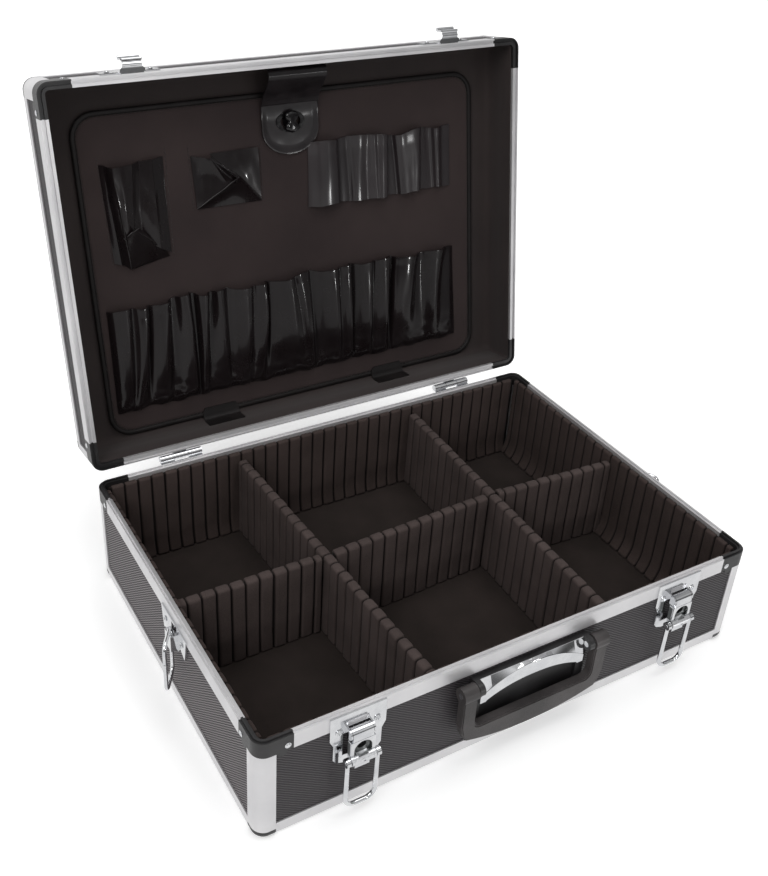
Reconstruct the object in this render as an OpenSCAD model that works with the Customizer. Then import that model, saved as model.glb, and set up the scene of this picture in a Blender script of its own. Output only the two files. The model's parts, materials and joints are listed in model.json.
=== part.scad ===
// Hard tool case standing open: a wide shallow tray with lift-out padded dividers and a hinged lid
// that carries a tool pallet. Panels are boards held by light metal extrusions.
// X runs left to right, Y front to back, Z up. The origin is the middle of the tray footprint on the
// floor. The front, with the handle and the two latches, faces -Y.

/* [Case] */
// Outside width of the tray, left to right
case_w = 455; // [360:1:600]
// Outside depth of the tray, front to back
case_d = 330; // [260:1:420]
// Height of the tray rim above the floor
tray_h = 97; // [88:1:160]
// Height of the lid from its rim to its top
lid_h = 47.6; // [44:0.1:90]
// Gap between the two rims when the lid is shut
seam_gap = 0.4; // [0.2:0.1:0.8]
// How far the lid stands open
lid_open = 100; // [60:1:105]
// Thickness of the wall, bottom and lid boards
panel_t = 3; // [2:0.1:5]
// Thickness of the metal extrusions and corner pieces
al_t = 1; // [0.8:0.1:1.4]
// Gap between a board and the extrusion over it
fit = 0.05; // [0.02:0.01:0.2]

/* [Trim] */
// Radius of the four upright corners
corner_r = 10; // [8:0.5:14]
// Radius of the lower tray edges and upper lid edges
edge_r = 5; // [3:0.5:7]
// Height of the outer flange of both rims
rim_flange = 13.5; // [10:0.5:20]
// Height of the inner flange of both rims
rim_inner = 9; // [6:0.5:12]
// Depth of the tray rim, outer face to inner face
rim_w = 5; // [4.9:0.1:8]
// Depth of the lid rim, outer face to inner lip
lid_rim_w = 6.4; // [6:0.1:9]
// Thickness of the lid rim bar that holds the groove
lid_rim_t = 3; // [2.6:0.1:5]
// Width of the tongue that stands on the tray rim
tongue_w = 1.6; // [1.2:0.1:2]
// Height of that tongue
tongue_h = 1.6; // [1:0.1:2]
// Distance of the tongue from the outer face
tongue_in = 1.7; // [1.5:0.1:2]
// Play of the tongue in the lid groove, each side
tongue_play = 0.5; // [0.3:0.1:0.8]
// Flange width of the lower and upper edge extrusions
edge_flange = 13; // [10:0.5:20]
// Flange width of the upright corner extrusions
post_flange = 15; // [12:0.5:22]
// Height of the small outer corner caps
cap_h = 7; // [5:0.5:12]
// Leg length of the rim corner pieces
rim_leg = 28; // [25:0.5:40]
// Distance of the rim rivets from the corner
rivet_in = 23.5; // [20:0.5:25]
// Radius of the rivet heads
rivet_r = 2.4; // [1.5:0.1:3]
// Radius of the rounded lobe on each rim corner leg
lobe_r = 4; // [3:0.5:5]

/* [Hinges] */
// Distance of each hinge from the side face of the case
hinge_in = 80.5; // [60:0.5:110]
// Length of one hinge
hinge_len = 40; // [30:1:60]
// Height of a hinge leaf
leaf_h = 22; // [16:1:30]
// Thickness of a hinge leaf
leaf_t = 1.3; // [1:0.1:1.5]
// Distance of the hinge pin behind the back face
pivot_out = 5; // [4.8:0.1:7]
// Height of the hinge pin above the tray rim
pivot_up = 2.6; // [2.2:0.1:4]
// Radius of the hinge knuckles
knuckle_r = 3.2; // [2.8:0.1:3.4]
// Radius of the hinge pin
hinge_pin_r = 1.5; // [1:0.1:2]
// Play between neighbouring knuckles along the pin
side_play = 0.4; // [0.2:0.1:0.6]
// Running clearance of every pin in its bore, on the radius
run_fit = 0.08; // [0.03:0.01:0.1]

/* [Latches] */
// Distance of each latch from the side face of the case
latch_in = 77.5; // [60:0.5:84]
// Width of the latch plate at its top
latch_w = 45; // [42:1:56]
// Height of the top of the latch plate below the tray rim
latch_top = 1; // [0.5:0.5:4]
// Height of the latch plate
latch_h = 47; // [46:1:52]
// Thickness of all pressed plates on the outside
plate_t = 1.2; // [1:0.1:1.6]
// Distance of the latch screws from the latch middle
latch_screw_x = 15.5; // [14:0.5:18]
// Height of the lever pin below the tray rim
lever_drop = 17; // [16:0.5:20]
// Distance of the lever pin in front of the rim face
lever_out = 5; // [4.8:0.1:6]
// Half width of the lever
lever_half = 9.8; // [9:0.1:10]
// Radius of the lever barrel round its pin
barrel_r = 4.2; // [3.6:0.1:4.4]
// Radius of the small pins in the latches
latch_pin_r = 1.6; // [1.2:0.1:1.8]
// Distance from the lever pin down to the bail pin
bail_drop = 23; // [21:0.5:26]
// Distance of the bail pin in front of the rim face
bail_out = 9; // [8.5:0.1:10]
// Half width of the bail, middle of wire to middle of wire
bail_half = 12.2; // [12:0.1:13]
// Length of the bail, pin to middle of the end bar
bail_len = 46; // [45.5:0.1:46.5]
// Radius of the bail wire
bail_r = 1.9; // [1.5:0.1:2]
// Bend radius of the bail at its free end
bail_bend = 8; // [4:0.5:8]
// Half width of the hook tongue that the bail closes over
hook_half = 6; // [5:0.5:7]
// Half width of the curled hook lip
hook_lip_half = 8.8; // [8:0.1:9]

/* [Handle] */
// Distance of each handle arm from the middle, to the middle of the arm
arm_x = 61.5; // [58:0.5:80]
// Width of a handle arm
arm_w = 13; // [10:0.5:15]
// Height of the handle pins below the tray rim
handle_drop = 22; // [21:0.5:30]
// Distance of the handle pins in front of the rim face
handle_out = 8; // [7.5:0.5:10]
// Radius of the round bosses at the top of the arms
boss_r = 6.5; // [5.5:0.5:7]
// Radius of the handle pins
handle_pin_r = 2.5; // [2:0.1:3]
// Distance from the handle pins down to the inner grip edge
grip_drop = 34; // [30:0.5:36]
// Height of the grip at its middle
grip_h = 20; // [16:0.5:20]
// How much less tall the grip is at its ends
grip_bow = 8; // [4:0.5:10]
// Thickness of the grip, front to back
grip_t = 8.5; // [7:0.5:10]
// Gap between a handle arm and the plate behind the handle
arm_gap = 1; // [0.6:0.1:3]
// Height of the plate behind the handle
back_h = 50; // [46:0.5:52]
// Thickness of the raised frame of that plate, in front of the rim face
back_out = 4; // [3:0.5:4]

/* [Strap fittings] */
// Distance of the strap fittings from the middle, towards the front
strap_y = 20; // [0:1:40]
// Half width of a strap fitting plate
strap_half = 25; // [22:1:30]
// Height of the top of a strap fitting plate below the tray rim
strap_top = 9; // [8:0.5:14]
// Height of a ring loop, middle of wire to middle of wire
ring_h = 45; // [40:1:50]
// Reach of the ring loop away from its hinge leg
ring_w = 24; // [18:1:30]
// Radius of the ring wire
ring_r = 1.6; // [1.2:0.1:1.8]
// Bend radius of the ring corners
ring_bend = 6; // [4:0.5:8]
// Distance of the ring hinge leg in front of the rim face
ring_out = 3.6; // [3.4:0.1:5]
// Direction in which the loose rings stand, turned forward from straight out
ring_rest = 58; // [0:1:78]

/* [Lining and dividers] */
// Thickness of the cloth-covered base of the wall lining
lining_t = 1.9; // [1.5:0.1:3]
// Thickness of the padded ribs on the wall lining
rib_t = 2.6; // [2:0.1:4]
// Distance from one padded rib to the next
rib_pitch = 12.4; // [10:0.1:16]
// Width of the dark groove between two ribs
groove_w = 2.6; // [2.4:0.1:3]
// Height of the floor lining top above the floor
floor_top = 6.5; // [6:0.5:9]
// Height of the divider tops below the tray rim
divider_drop = 9; // [6:0.5:14]
// Thickness of a divider over its ribs
divider_t = 9; // [7:0.5:11]
// Thickness of the sheet in the middle of a divider
core_t = 1.6; // [1.2:0.1:1.8]
// Clearance of a divider from everything beside it
soft_gap = 0.4; // [0.3:0.1:0.6]
// Groove that holds the front ends of the long dividers, counted from the middle
slot_front = 6; // [4:1:8]
// Groove that holds the back ends of the long dividers
slot_back = 7; // [4:1:8]
// How far back the middle cross divider meets the right long divider
cross_shift = 8; // [0:0.5:12]

/* [Pallet] */
// Thickness of the pallet board
board_t = 2.1; // [1.5:0.1:4]
// Depth of the pallet face below the lid rim
board_depth = 36.8; // [32:0.1:37]
// Margin from the pallet to the lid walls at the sides
board_margin_x = 29.5; // [12:0.5:50]
// Margin from the pallet to the lid wall at the front
board_margin_f = 30; // [12:0.5:50]
// Margin from the pallet to the lid wall at the back
board_margin_b = 10; // [8:0.5:50]
// Corner radius of the pallet board
board_r = 22; // [10:1:40]
// Width of the bound edge of the pallet
binding_w = 2.6; // [2:0.1:5]
// Thickness of the tall pocket when empty
tall_d = 8; // [5:0.5:12]
// How far the upper loops stand off the board
loop_d = 8; // [5:0.5:12]
// Width of the strap that holds the pallet
strap_w = 56; // [40:1:70]
// Height of the strap root above the lid rim
strap_root = 14; // [10:1:20]
// Distance of the turn button behind the front edge of the pallet
button_in = 27; // [24:0.5:30]
// Inner radius of the oval eyelet in the strap, along the strap
eyelet_r = 7; // [6:0.5:8]
// How much wider than long the eyelet is
eyelet_wide = 1.5; // [1:0.05:1.6]
// Radius of the turn button stem
stem_r = 2; // [1.5:0.1:2.5]
// Distance of the two lower cloth tabs from the middle
tab_x = 91.5; // [60:0.5:140]
// Width of a cloth tab
tab_w = 36; // [20:1:50]
// Distance of the pocket mouths behind the front edge of the pallet
mouth_in = 45; // [42:1:60]
// Distance of the tall pocket from the left edge of the pallet
tall_in = 24; // [14:1:40]
// Width of the tall pocket
tall_w = 53; // [40:1:60]
// Length of the tall pocket, mouth to bottom
tall_h = 94; // [70:1:100]
// Gap between the tall pocket and the envelope pocket
pocket_gap = 23; // [6:1:40]
// Length of the envelope pocket, mouth to bottom
envelope_h = 45; // [35:1:60]
// Distance of the upper loops from the right edge of the pallet
loops_in = 26; // [12:1:40]
// Length of the upper loops
loop_h = 57; // [40:1:70]
// Distance of the lower row from the left edge of the pallet
low_left = 13; // [6:1:40]
// Distance of the lower row from the right edge of the pallet
low_right = 26; // [6:1:60]
// Distance of the lower row from the back edge of the pallet
low_in = 22; // [8:1:40]
// Gap between the tall pocket and the mouths of the lower row
low_gap = 25; // [10:1:40]
// Number of pockets in the lower row
low_n = 10; // [6:1:14]
// Thickness of a lower pocket when empty
low_d = 13; // [8:0.5:15]
// Number of loops in the upper row
loop_n = 4; // [3:1:8]

/* [Hidden] */
hw = case_w / 2;
hd = case_d / 2;
panel_face = al_t + fit;
panel_in = panel_face + panel_t;
lining_out = panel_in + 0.1;
lid_z = tray_h + seam_gap;
lid_top = lid_z + lid_h;
hinge_x = hw - hinge_in;
latch_x = hw - latch_in;
back_half = arm_x - arm_w / 2 - arm_gap;
pivot_y = hd + pivot_out;
pivot_z = tray_h + pivot_up;
rim_bot = tray_h - rim_flange;
corner_leg = post_flange - corner_r;
rim_arm = rim_leg - corner_r;
groove_in = tongue_in - tongue_play;
groove_wide = tongue_w + 2 * tongue_play;
groove_deep = tongue_h + 0.3;
inner_x = hw - rim_w - fit - lining_t - rib_t;
inner_y = hd - rim_w - fit - lining_t - rib_t;
divider_z = floor_top + soft_gap;
divider_h = tray_h - divider_drop - divider_z;
long_front = (slot_front + 0.5) * rib_pitch;
long_back = (slot_back + 0.5) * rib_pitch;
long_x = (long_front + long_back) / 2;
long_turn = atan2(long_back - long_front, 2 * inner_y);
board_face = lid_z + board_depth;
board_x = hw - board_margin_x;
board_y0 = -hd + board_margin_f;
board_y1 = hd - board_margin_b;
lever_z = tray_h - lever_drop;
bail_z = lever_z - bail_drop;
handle_z = tray_h - handle_drop;
strap_z = tray_h - strap_top;
on_board = board_face - 0.1;
button_y = board_y0 + button_in;
mouth_y = board_y0 + mouth_in;
tall_x = -board_x + tall_in;
envelope_x = tall_x + tall_w + pocket_gap;
envelope_end = -strap_w / 2 - 5;
silver = [0.82, 0.82, 0.83];
chrome = [0.86, 0.87, 0.88];
board = [0.28, 0.27, 0.28];
black = [0.09, 0.09, 0.09];
foam = [0.16, 0.14, 0.13];
cloth = [0.2, 0.17, 0.17];
grip_col = [0.28, 0.26, 0.26];

// Which part to show: all, or one name of the list above

// ---- placing helpers ----

// Front face: x across, y up, z out of the case
module on_front(x, z) {
    translate([x, -hd, z]) rotate([90, 0, 0]) children();
}

// Left face: x towards the front, y up, z out of the case
module on_left(y, z) {
    translate([-hw, y, z]) rotate([90, 0, -90]) children();
}

// Turns parts drawn on the shut lid to where the open lid holds them
module lid_place() {
    translate([0, pivot_y, pivot_z]) rotate([-lid_open, 0, 0])
        translate([0, -pivot_y, -pivot_z]) children();
}

// Runs a profile along the four sides; profile x is 0 at the outer face and negative inwards
module run_sides(trim) {
    for (s = [[0, hd, case_w], [90, hw, case_d], [180, hd, case_w], [270, hw, case_d]])
        rotate([0, 0, s[0]]) translate([0, s[1], 0]) rotate([90, 0, 90])
            linear_extrude(s[2] - 2 * trim, center = true) children();
}

module at_corners() {
    for (i = [0:3]) {
        sx = (i == 0 || i == 3) ? 1 : -1;
        sy = i < 2 ? 1 : -1;
        translate([sx * (hw - corner_r), sy * (hd - corner_r), 0]) rotate([0, 0, 90 * i]) children();
    }
}

// Wraps a profile round one corner with a straight leg on both sides
module corner_wrap(leg) {
    rotate_extrude(angle = 90, $fn = 64) children();
    for (m = [0, 1])
        mirror([m, -m, 0]) rotate([90, 0, 0]) linear_extrude(leg) children();
}

module both_legs() {
    for (m = [0, 1]) mirror([m, -m, 0]) children();
}

module rrect(w, d, r) {
    square([w - 2 * r, d], center = true);
    square([w, d - 2 * r], center = true);
    for (x = [-1, 1], y = [-1, 1])
        translate([x * (w / 2 - r), y * (d / 2 - r)]) circle(r, $fn = 48);
}

// Area with a rounded lower outer edge, its outer side at x = w
module edge_shape(w, h, r) {
    intersection() {
        square([w, h]);
        union() {
            square([w - r, h]);
            translate([0, r]) square([w, h]);
            translate([w - r, r]) circle(r, $fn = 40);
        }
    }
}

module edge_shell(w, h) {
    difference() {
        edge_shape(w, h, edge_r);
        translate([-1, al_t]) edge_shape(w - al_t + 1, h, edge_r - al_t);
    }
}

module tray_rim_profile() {
    translate([-al_t, rim_bot]) square([al_t, rim_flange]);
    translate([-rim_w, tray_h - al_t]) square([rim_w, al_t]);
    translate([-rim_w, tray_h - rim_inner]) square([rim_w - panel_in - fit, rim_inner]);
    translate([-tongue_in - tongue_w, tray_h - al_t]) square([tongue_w, al_t + tongue_h]);
}

module lid_rim_profile() {
    difference() {
        translate([-lid_rim_w, lid_z]) square([lid_rim_w, lid_rim_t]);
        translate([-groove_in - groove_wide, lid_z - 1]) square([groove_wide, groove_deep + 1]);
    }
    translate([-al_t, lid_z]) square([al_t, rim_flange]);
    translate([-rim_w - fit, lid_z]) square([rim_w - panel_in, rim_inner]);
}

// Mirrors a tray part drawn from the floor up so that it hangs from the top of the shut lid
module from_lid_top() {
    translate([0, 0, lid_top]) mirror([0, 0, 1]) children();
}

// Countersunk screw head with a cross slot; z = 0 is the face it sits on
module screw_head(r, h) {
    difference() {
        union() {
            cylinder(r = r, h = h * 0.6, $fn = 24);
            cylinder(r1 = r, r2 = r * 0.6, h = h, $fn = 24);
        }
        translate([0, 0, h]) cube([r * 1.2, 0.5, h], center = true);
        translate([0, 0, h]) cube([0.5, r * 1.2, h], center = true);
    }
}

// Wall board between two corners
module wall_board(w, z0, z1) {
    translate([-w / 2 + corner_r + 0.3, -panel_in, z0])
        cube([w - 2 * corner_r - 0.6, panel_t, z1 - z0]);
}

// ---- tray ----

module bottom_panel() {
    color(board) {
        linear_extrude(al_t + fit + 0.01) rrect(case_w - 2 * edge_flange - 0.2, case_d - 2 * edge_flange - 0.2, 3);
        translate([0, 0, al_t + fit]) linear_extrude(panel_t)
            rrect(case_w - 2 * edge_r - 0.4, case_d - 2 * edge_r - 0.4, edge_r - 0.4);
    }
}

module tray_wall(turn, off, w) {
    color(board) rotate([0, 0, turn]) translate([0, off, 0])
        wall_board(w, edge_r, tray_h - al_t - fit);
}

module front_panel() { tray_wall(180, hd, case_w); }

module back_panel() { tray_wall(0, hd, case_w); }

module left_panel() { tray_wall(90, hw, case_d); }

module right_panel() { tray_wall(270, hw, case_d); }

module tray_rim_rails() {
    color(silver) run_sides(rim_leg + fit) tray_rim_profile();
}

module tray_base_rails() {
    color(silver) run_sides(post_flange + fit) translate([-edge_flange, 0]) edge_shell(edge_flange, edge_flange);
}

module tray_corner_posts() {
    color(silver) at_corners() corner_wrap(corner_leg)
        translate([corner_r - al_t, cap_h + fit]) square([al_t, rim_bot - cap_h - 2 * fit]);
}

module rim_lobe(z) {
    translate([corner_r - al_t, corner_r - post_flange - lobe_r - 0.5, z])
        rotate([0, 90, 0]) cylinder(r = lobe_r, h = al_t, $fn = 32);
}

module tray_rim_corners() {
    color(black) at_corners() {
        corner_wrap(rim_arm) translate([corner_r, 0]) tray_rim_profile();
        both_legs() rim_lobe(rim_bot);
    }
}

module tray_base_caps() {
    color(black) at_corners() corner_wrap(corner_leg) edge_shell(corner_r, cap_h);
}

module rim_rivets(z) {
    at_corners() both_legs()
        translate([corner_r + 0.02, corner_r - rivet_in, z]) rotate([0, 90, 0]) {
            cylinder(r = rivet_r, h = 0.5, $fn = 28);
            cylinder(r1 = rivet_r, r2 = rivet_r * 0.55, h = 1, $fn = 28);
        }
}

module tray_rivets() {
    color(chrome) rim_rivets(tray_h - 8.5);
}

// Padded ribs on the inner face of one wall; first is the offset of the first groove
module wall_ribs(w, first, z0, z1) {
    n = floor((w / 2 - 6) / rib_pitch);
    for (i = [-n - 1:n]) {
        a = max(i * rib_pitch + first + groove_w / 2, -w / 2 + rib_t + 1);
        b = min((i + 1) * rib_pitch + first - groove_w / 2, w / 2 - rib_t - 1);
        if (b - a > 2)
            translate([a, -rib_t, z0]) cube([b - a, rib_t + 0.1, z1 - z0]);
    }
}

module wall_lining() {
    top = tray_h - 2.5;
    step = tray_h - rim_inner - 0.2;
    base_in = rim_w + fit + lining_t;
    color(foam) {
        translate([0, 0, floor_top + 0.1]) linear_extrude(step - floor_top - 0.1) difference() {
            rrect(case_w - 2 * lining_out, case_d - 2 * lining_out, 5);
            rrect(case_w - 2 * base_in, case_d - 2 * base_in, 2);
        }
        translate([0, 0, step - 0.1]) linear_extrude(top - step) difference() {
            rrect(case_w - 2 * rim_w - 2 * fit, case_d - 2 * rim_w - 2 * fit, corner_r - rim_w - 0.1);
            rrect(case_w - 2 * base_in, case_d - 2 * base_in, 2);
        }
        for (s = [0, 180])
            rotate([0, 0, s]) translate([0, hd - base_in, 0])
                wall_ribs(case_w - 2 * base_in, rib_pitch / 2, floor_top + 0.1, top - 0.6);
        for (s = [90, 270])
            rotate([0, 0, s]) translate([0, hw - base_in, 0])
                wall_ribs(case_d - 2 * base_in, 0, floor_top + 0.1, top - 0.6);
    }
}

module floor_lining() {
    color(foam) translate([0, 0, panel_in + 0.05]) linear_extrude(floor_top - panel_in - 0.05)
        rrect(case_w - 2 * lining_out - 0.4, case_d - 2 * lining_out - 0.4, 4);
}

// ---- latches on the tray front ----

module latch_outline() {
    w = latch_w / 2;
    t = -latch_top;
    b = -latch_top - latch_h;
    polygon([[-w, t], [w, t], [w, t - 21], [w - 3, t - 27], [w - 3, b + 6], [w - 6, b + 2], [w - 12, b],
        [-w + 12, b], [-w + 6, b + 2], [-w + 3, b + 6], [-w + 3, t - 27], [-w, t - 21]]);
}

// y = 0 is the tray rim, z = 0 the rim face
module latch_plate() {
    window = lever_half + 2.4;
    difference() {
        union() {
            translate([0, 0, fit]) linear_extrude(plate_t) latch_outline();
            translate([0, 0, -panel_face + 0.05]) linear_extrude(panel_face + 0.1) intersection() {
                latch_outline();
                translate([-latch_w, -tray_h]) square([2 * latch_w, tray_h - rim_flange - 0.1]);
            }
            for (s = [-1, 1]) translate([s * (lever_half - 0.65), -lever_drop, 0]) {
                translate([0, 0, lever_out]) rotate([0, 90, 0])
                    cylinder(r = barrel_r, h = 1.3, center = true, $fn = 40);
                translate([-0.65, -barrel_r, fit]) cube([1.3, 2 * barrel_r, lever_out]);
            }
        }
        translate([0, -lever_drop, lever_out]) rotate([0, 90, 0])
            cylinder(r = latch_pin_r, h = 60, center = true, $fn = 32);
        translate([-8.5, -12.8, -2]) cube([17, 5, 6]);
        translate([-lever_half + 1.5, -lever_drop - barrel_r - 0.3, -2])
            cube([2 * lever_half - 3, 2 * barrel_r - 0.4, 4]);
        translate([-window, -latch_top - latch_h + 8, -2])
            cube([2 * window, latch_h - latch_top - lever_drop - barrel_r - 3.3, 4]);
    }
}

module latch_plate_left() {
    color(chrome) on_front(-latch_x, tray_h) latch_plate();
}

module latch_plate_right() {
    color(chrome) on_front(latch_x, tray_h) latch_plate();
}

module latch_pins() {
    color(chrome) for (s = [-1, 1])
        on_front(s * latch_x, tray_h) translate([0, -lever_drop, lever_out]) rotate([0, 90, 0])
            cylinder(r = latch_pin_r - 0.01, h = 2 * lever_half - 0.02, center = true, $fn = 32);
}

// Lever drawn about its own pin: y down the lever, z out
module latch_lever() {
    end_z = bail_out - lever_out;
    body_half = lever_half - 1.6;
    difference() {
        union() {
            rotate([0, 90, 0]) cylinder(r = barrel_r, h = 2 * body_half, center = true, $fn = 40);
            translate([-body_half, -barrel_r - 1.4, -0.6]) cube([2 * body_half, barrel_r + 1.4, barrel_r + 0.6]);
            translate([-lever_half, -bail_drop + 1, -0.6]) cube([2 * lever_half, bail_drop - barrel_r - 2, 5]);
            translate([0, -bail_drop, end_z]) rotate([0, 90, 0])
                cylinder(r = 3.8, h = 2 * lever_half, center = true, $fn = 36);
            translate([-6, -bail_drop - 9, end_z - 1.5]) cube([12, 9, 1.6]);
        }
        rotate([0, 90, 0]) cylinder(r = latch_pin_r + run_fit, h = 40, center = true, $fn = 32);
        translate([0, -13.5, 1.8]) cylinder(r = 7.2, h = 4, $fn = 40);
        translate([-7.2, -bail_drop + 4.2, 1.8]) cube([14.4, bail_drop - 17.7, 4]);
        translate([0, -12.4, -1.4]) scale([1.2, 1, 1]) cylinder(r = 3.1, h = 5, $fn = 30);
        translate([0, -bail_drop, end_z + 2.4]) cylinder(r = 0.8, h = 4, $fn = 16);
    }
    translate([0, -bail_drop, end_z]) rotate([0, 90, 0])
        cylinder(r = latch_pin_r, h = 2 * (bail_half + 2), center = true, $fn = 32);
}

module latch_lever_left() {
    color(chrome) on_front(-latch_x, lever_z) translate([0, 0, lever_out]) latch_lever();
}

module latch_lever_right() {
    color(chrome) on_front(latch_x, lever_z) translate([0, 0, lever_out]) latch_lever();
}

// Bail drawn about its own pin, hanging down
module latch_bail() {
    bx = bail_half - bail_bend;
    difference() {
        union() {
            for (s = [-1, 1]) {
                translate([s * bail_half, 0, 0]) rotate([0, 90, 0])
                    cylinder(r = 3.5, h = 3.4, center = true, $fn = 36);
                translate([s * bail_half, -bail_len + bail_bend, 0]) rotate([-90, 0, 0])
                    cylinder(r = bail_r, h = bail_len - bail_bend - 2.4, $fn = 24);
                translate([s * bx, -bail_len + bail_bend, 0])
                    rotate([0, 0, s > 0 ? 270 : 180])
                        rotate_extrude(angle = 90, $fn = 64)
                            translate([bail_bend, 0]) circle(bail_r, $fn = 24);
            }
            translate([0, -bail_len, 0]) rotate([0, 90, 0])
                cylinder(r = bail_r, h = 2 * bx + 0.02, center = true, $fn = 24);
        }
        rotate([0, 90, 0]) cylinder(r = latch_pin_r + run_fit, h = 60, center = true, $fn = 32);
    }
}

module latch_bail_left() {
    color(chrome) on_front(-latch_x, bail_z) translate([0, 0, bail_out]) latch_bail();
}

module latch_bail_right() {
    color(chrome) on_front(latch_x, bail_z) translate([0, 0, bail_out]) latch_bail();
}

// ---- hinges at the back ----

// Leaf with knuckles; up = 1 for the lid leaf, -1 for the tray leaf; mid = true for the middle knuckle
module hinge_leaf(z0, up, mid) {
    third = hinge_len / 3;
    span = mid ? [[-third / 2, third]] : [[-hinge_len / 2, third], [hinge_len / 2 - third, third]];
    difference() {
        union() {
            translate([-hinge_len / 2, hd + fit, up > 0 ? z0 : z0 - leaf_h]) cube([hinge_len, leaf_t, leaf_h]);
            for (k = span) {
                translate([k[0] + side_play / 2, pivot_y, pivot_z]) rotate([0, 90, 0])
                    cylinder(r = knuckle_r, h = k[1] - side_play, $fn = 40);
                translate([k[0] + side_play / 2, hd + fit, up > 0 ? pivot_z + knuckle_r - 1.1 : pivot_z - knuckle_r])
                    cube([k[1] - side_play, pivot_out - fit, 1.1]);
            }
        }
        translate([0, pivot_y, pivot_z]) rotate([0, 90, 0])
            cylinder(r = hinge_pin_r + (mid ? run_fit : 0), h = 2 * hinge_len, center = true, $fn = 32);
    }
    if (up < 0)
        for (k = span) translate([k[0] + side_play / 2, hd + fit, z0 - 2]) cube([k[1] - side_play, leaf_t, 2]);
}

module hinge_lower_leaves() {
    color(chrome) for (s = [-1, 1]) translate([s * hinge_x, 0, 0])
        hinge_leaf(tray_h, -1, false);
}

module hinge_upper_leaves() {
    color(chrome) lid_place() for (s = [-1, 1]) translate([s * hinge_x, 0, 0])
        hinge_leaf(pivot_z + knuckle_r - 1.1, 1, true);
}

module hinge_pins() {
    color(chrome) for (s = [-1, 1]) translate([s * hinge_x, pivot_y, pivot_z]) rotate([0, 90, 0])
        cylinder(r = hinge_pin_r - 0.01, h = hinge_len, center = true, $fn = 32);
}

// ---- handle ----

arch_top = back_h - 22;

module handle_backplate() {
    low = 2 - back_h;
    color(black) on_front(0, handle_z) difference() {
        union() {
            translate([-back_half, low, -panel_face + 0.05]) cube([2 * back_half, back_h + 3, back_out + panel_face - 0.05]);
        }
        translate([-back_half + 8, low + 8, 1.5]) cube([2 * back_half - 16, back_h - 15, 10]);
        for (s = [-1, 1]) translate([s * (back_half - 4), low + 5, back_out - 0.6]) cylinder(r = 2.6, h = 3, $fn = 28);
    }
    color(black) on_front(0, handle_z) for (s = [-1, 1]) difference() {
        translate([s * (back_half - 2.4), 0, 0]) {
            translate([-2.4, -boss_r + 1, back_out - 0.1]) cube([4.8, 2 * boss_r - 2, handle_out - back_out]);
            translate([0, 0, handle_out]) rotate([0, 90, 0]) cylinder(r = boss_r - 1, h = 4.8, center = true, $fn = 40);
        }
        translate([s * back_half, 0, handle_out]) rotate([0, 90, 0])
            cylinder(r = handle_pin_r, h = 30, center = true, $fn = 36);
    }
}

// Area between two arcs that share a flat foot line at y = foot
module arch_area(half, top, foot) {
    rise = top - foot;
    r = (half * half + rise * rise) / (2 * rise);
    intersection() {
        translate([0, top - r]) circle(r, $fn = 180);
        translate([-half, foot]) square([2 * half, rise + 1]);
    }
}

module handle_arch() {
    foot = -18;
    half = back_half - 5.2;
    color(chrome) on_front(0, handle_z) {
        translate([0, 0, back_out + 0.05]) linear_extrude(3.6) difference() {
            arch_area(half, 5, foot);
            translate([0, -0.02]) arch_area(half - 9.5, -8.5, foot - 0.02);
        }
        translate([0, 0, back_out + 0.05]) linear_extrude(1.4) difference() {
            translate([-half, -5]) square([2 * half, 10]);
            arch_area(half - 9.5, -8.5, foot);
        }
    }
}

module handle_pins() {
    pin_len = arm_x + arm_w / 2 - back_half + 4.8;
    color(chrome) on_front(0, handle_z) for (s = [-1, 1])
        translate([s * (back_half - 4.8), 0, handle_out]) rotate([0, 90 * s, 0])
            cylinder(r = handle_pin_r - 0.01, h = pin_len, $fn = 36);
}

// Grip outline seen from the front, in from its edges by d; y = 0 is the pin
module grip_area(d) {
    out = arm_x + arm_w / 2 - d;
    inn = arm_x - arm_w / 2 + d;
    low = -grip_drop - grip_h + d;
    cut = -grip_drop - d;
    difference() {
        polygon(concat([[out, 0], [out, -grip_drop + 4], [out - 2, -grip_drop - 4]],
            [for (i = [7:-1:-7]) [i / 7 * (out - 6), low + grip_bow * pow(abs(i / 7), 2.2)]],
            [[-out + 2, -grip_drop - 4], [-out, -grip_drop + 4], [-out, 0]]));
        translate([-inn, cut + 7]) square([2 * inn, 80]);
        translate([-inn + 7, cut]) square([2 * inn - 14, 80]);
        for (s = [-1, 1]) translate([s * (inn - 7), cut + 7]) circle(7, $fn = 32);
    }
}

module handle_grip() {
    z0 = back_out + 0.6 - handle_out;
    color(grip_col) on_front(0, handle_z) translate([0, 0, handle_out]) difference() {
        union() {
            translate([0, 0, z0]) linear_extrude(grip_t) grip_area(1.6);
            translate([0, 0, z0 + 0.7]) linear_extrude(grip_t - 1.4) grip_area(0.6);
            translate([0, 0, z0 + 1.7]) linear_extrude(grip_t - 3.4) grip_area(0);
            for (s = [-1, 1]) translate([s * arm_x, 0, 0]) rotate([0, 90, 0])
                cylinder(r = boss_r, h = arm_w, center = true, $fn = 48);
        }
        rotate([0, 90, 0]) cylinder(r = handle_pin_r + run_fit, h = 3 * arm_x, center = true, $fn = 36);
    }
}

// ---- strap fittings on both sides ----

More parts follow.
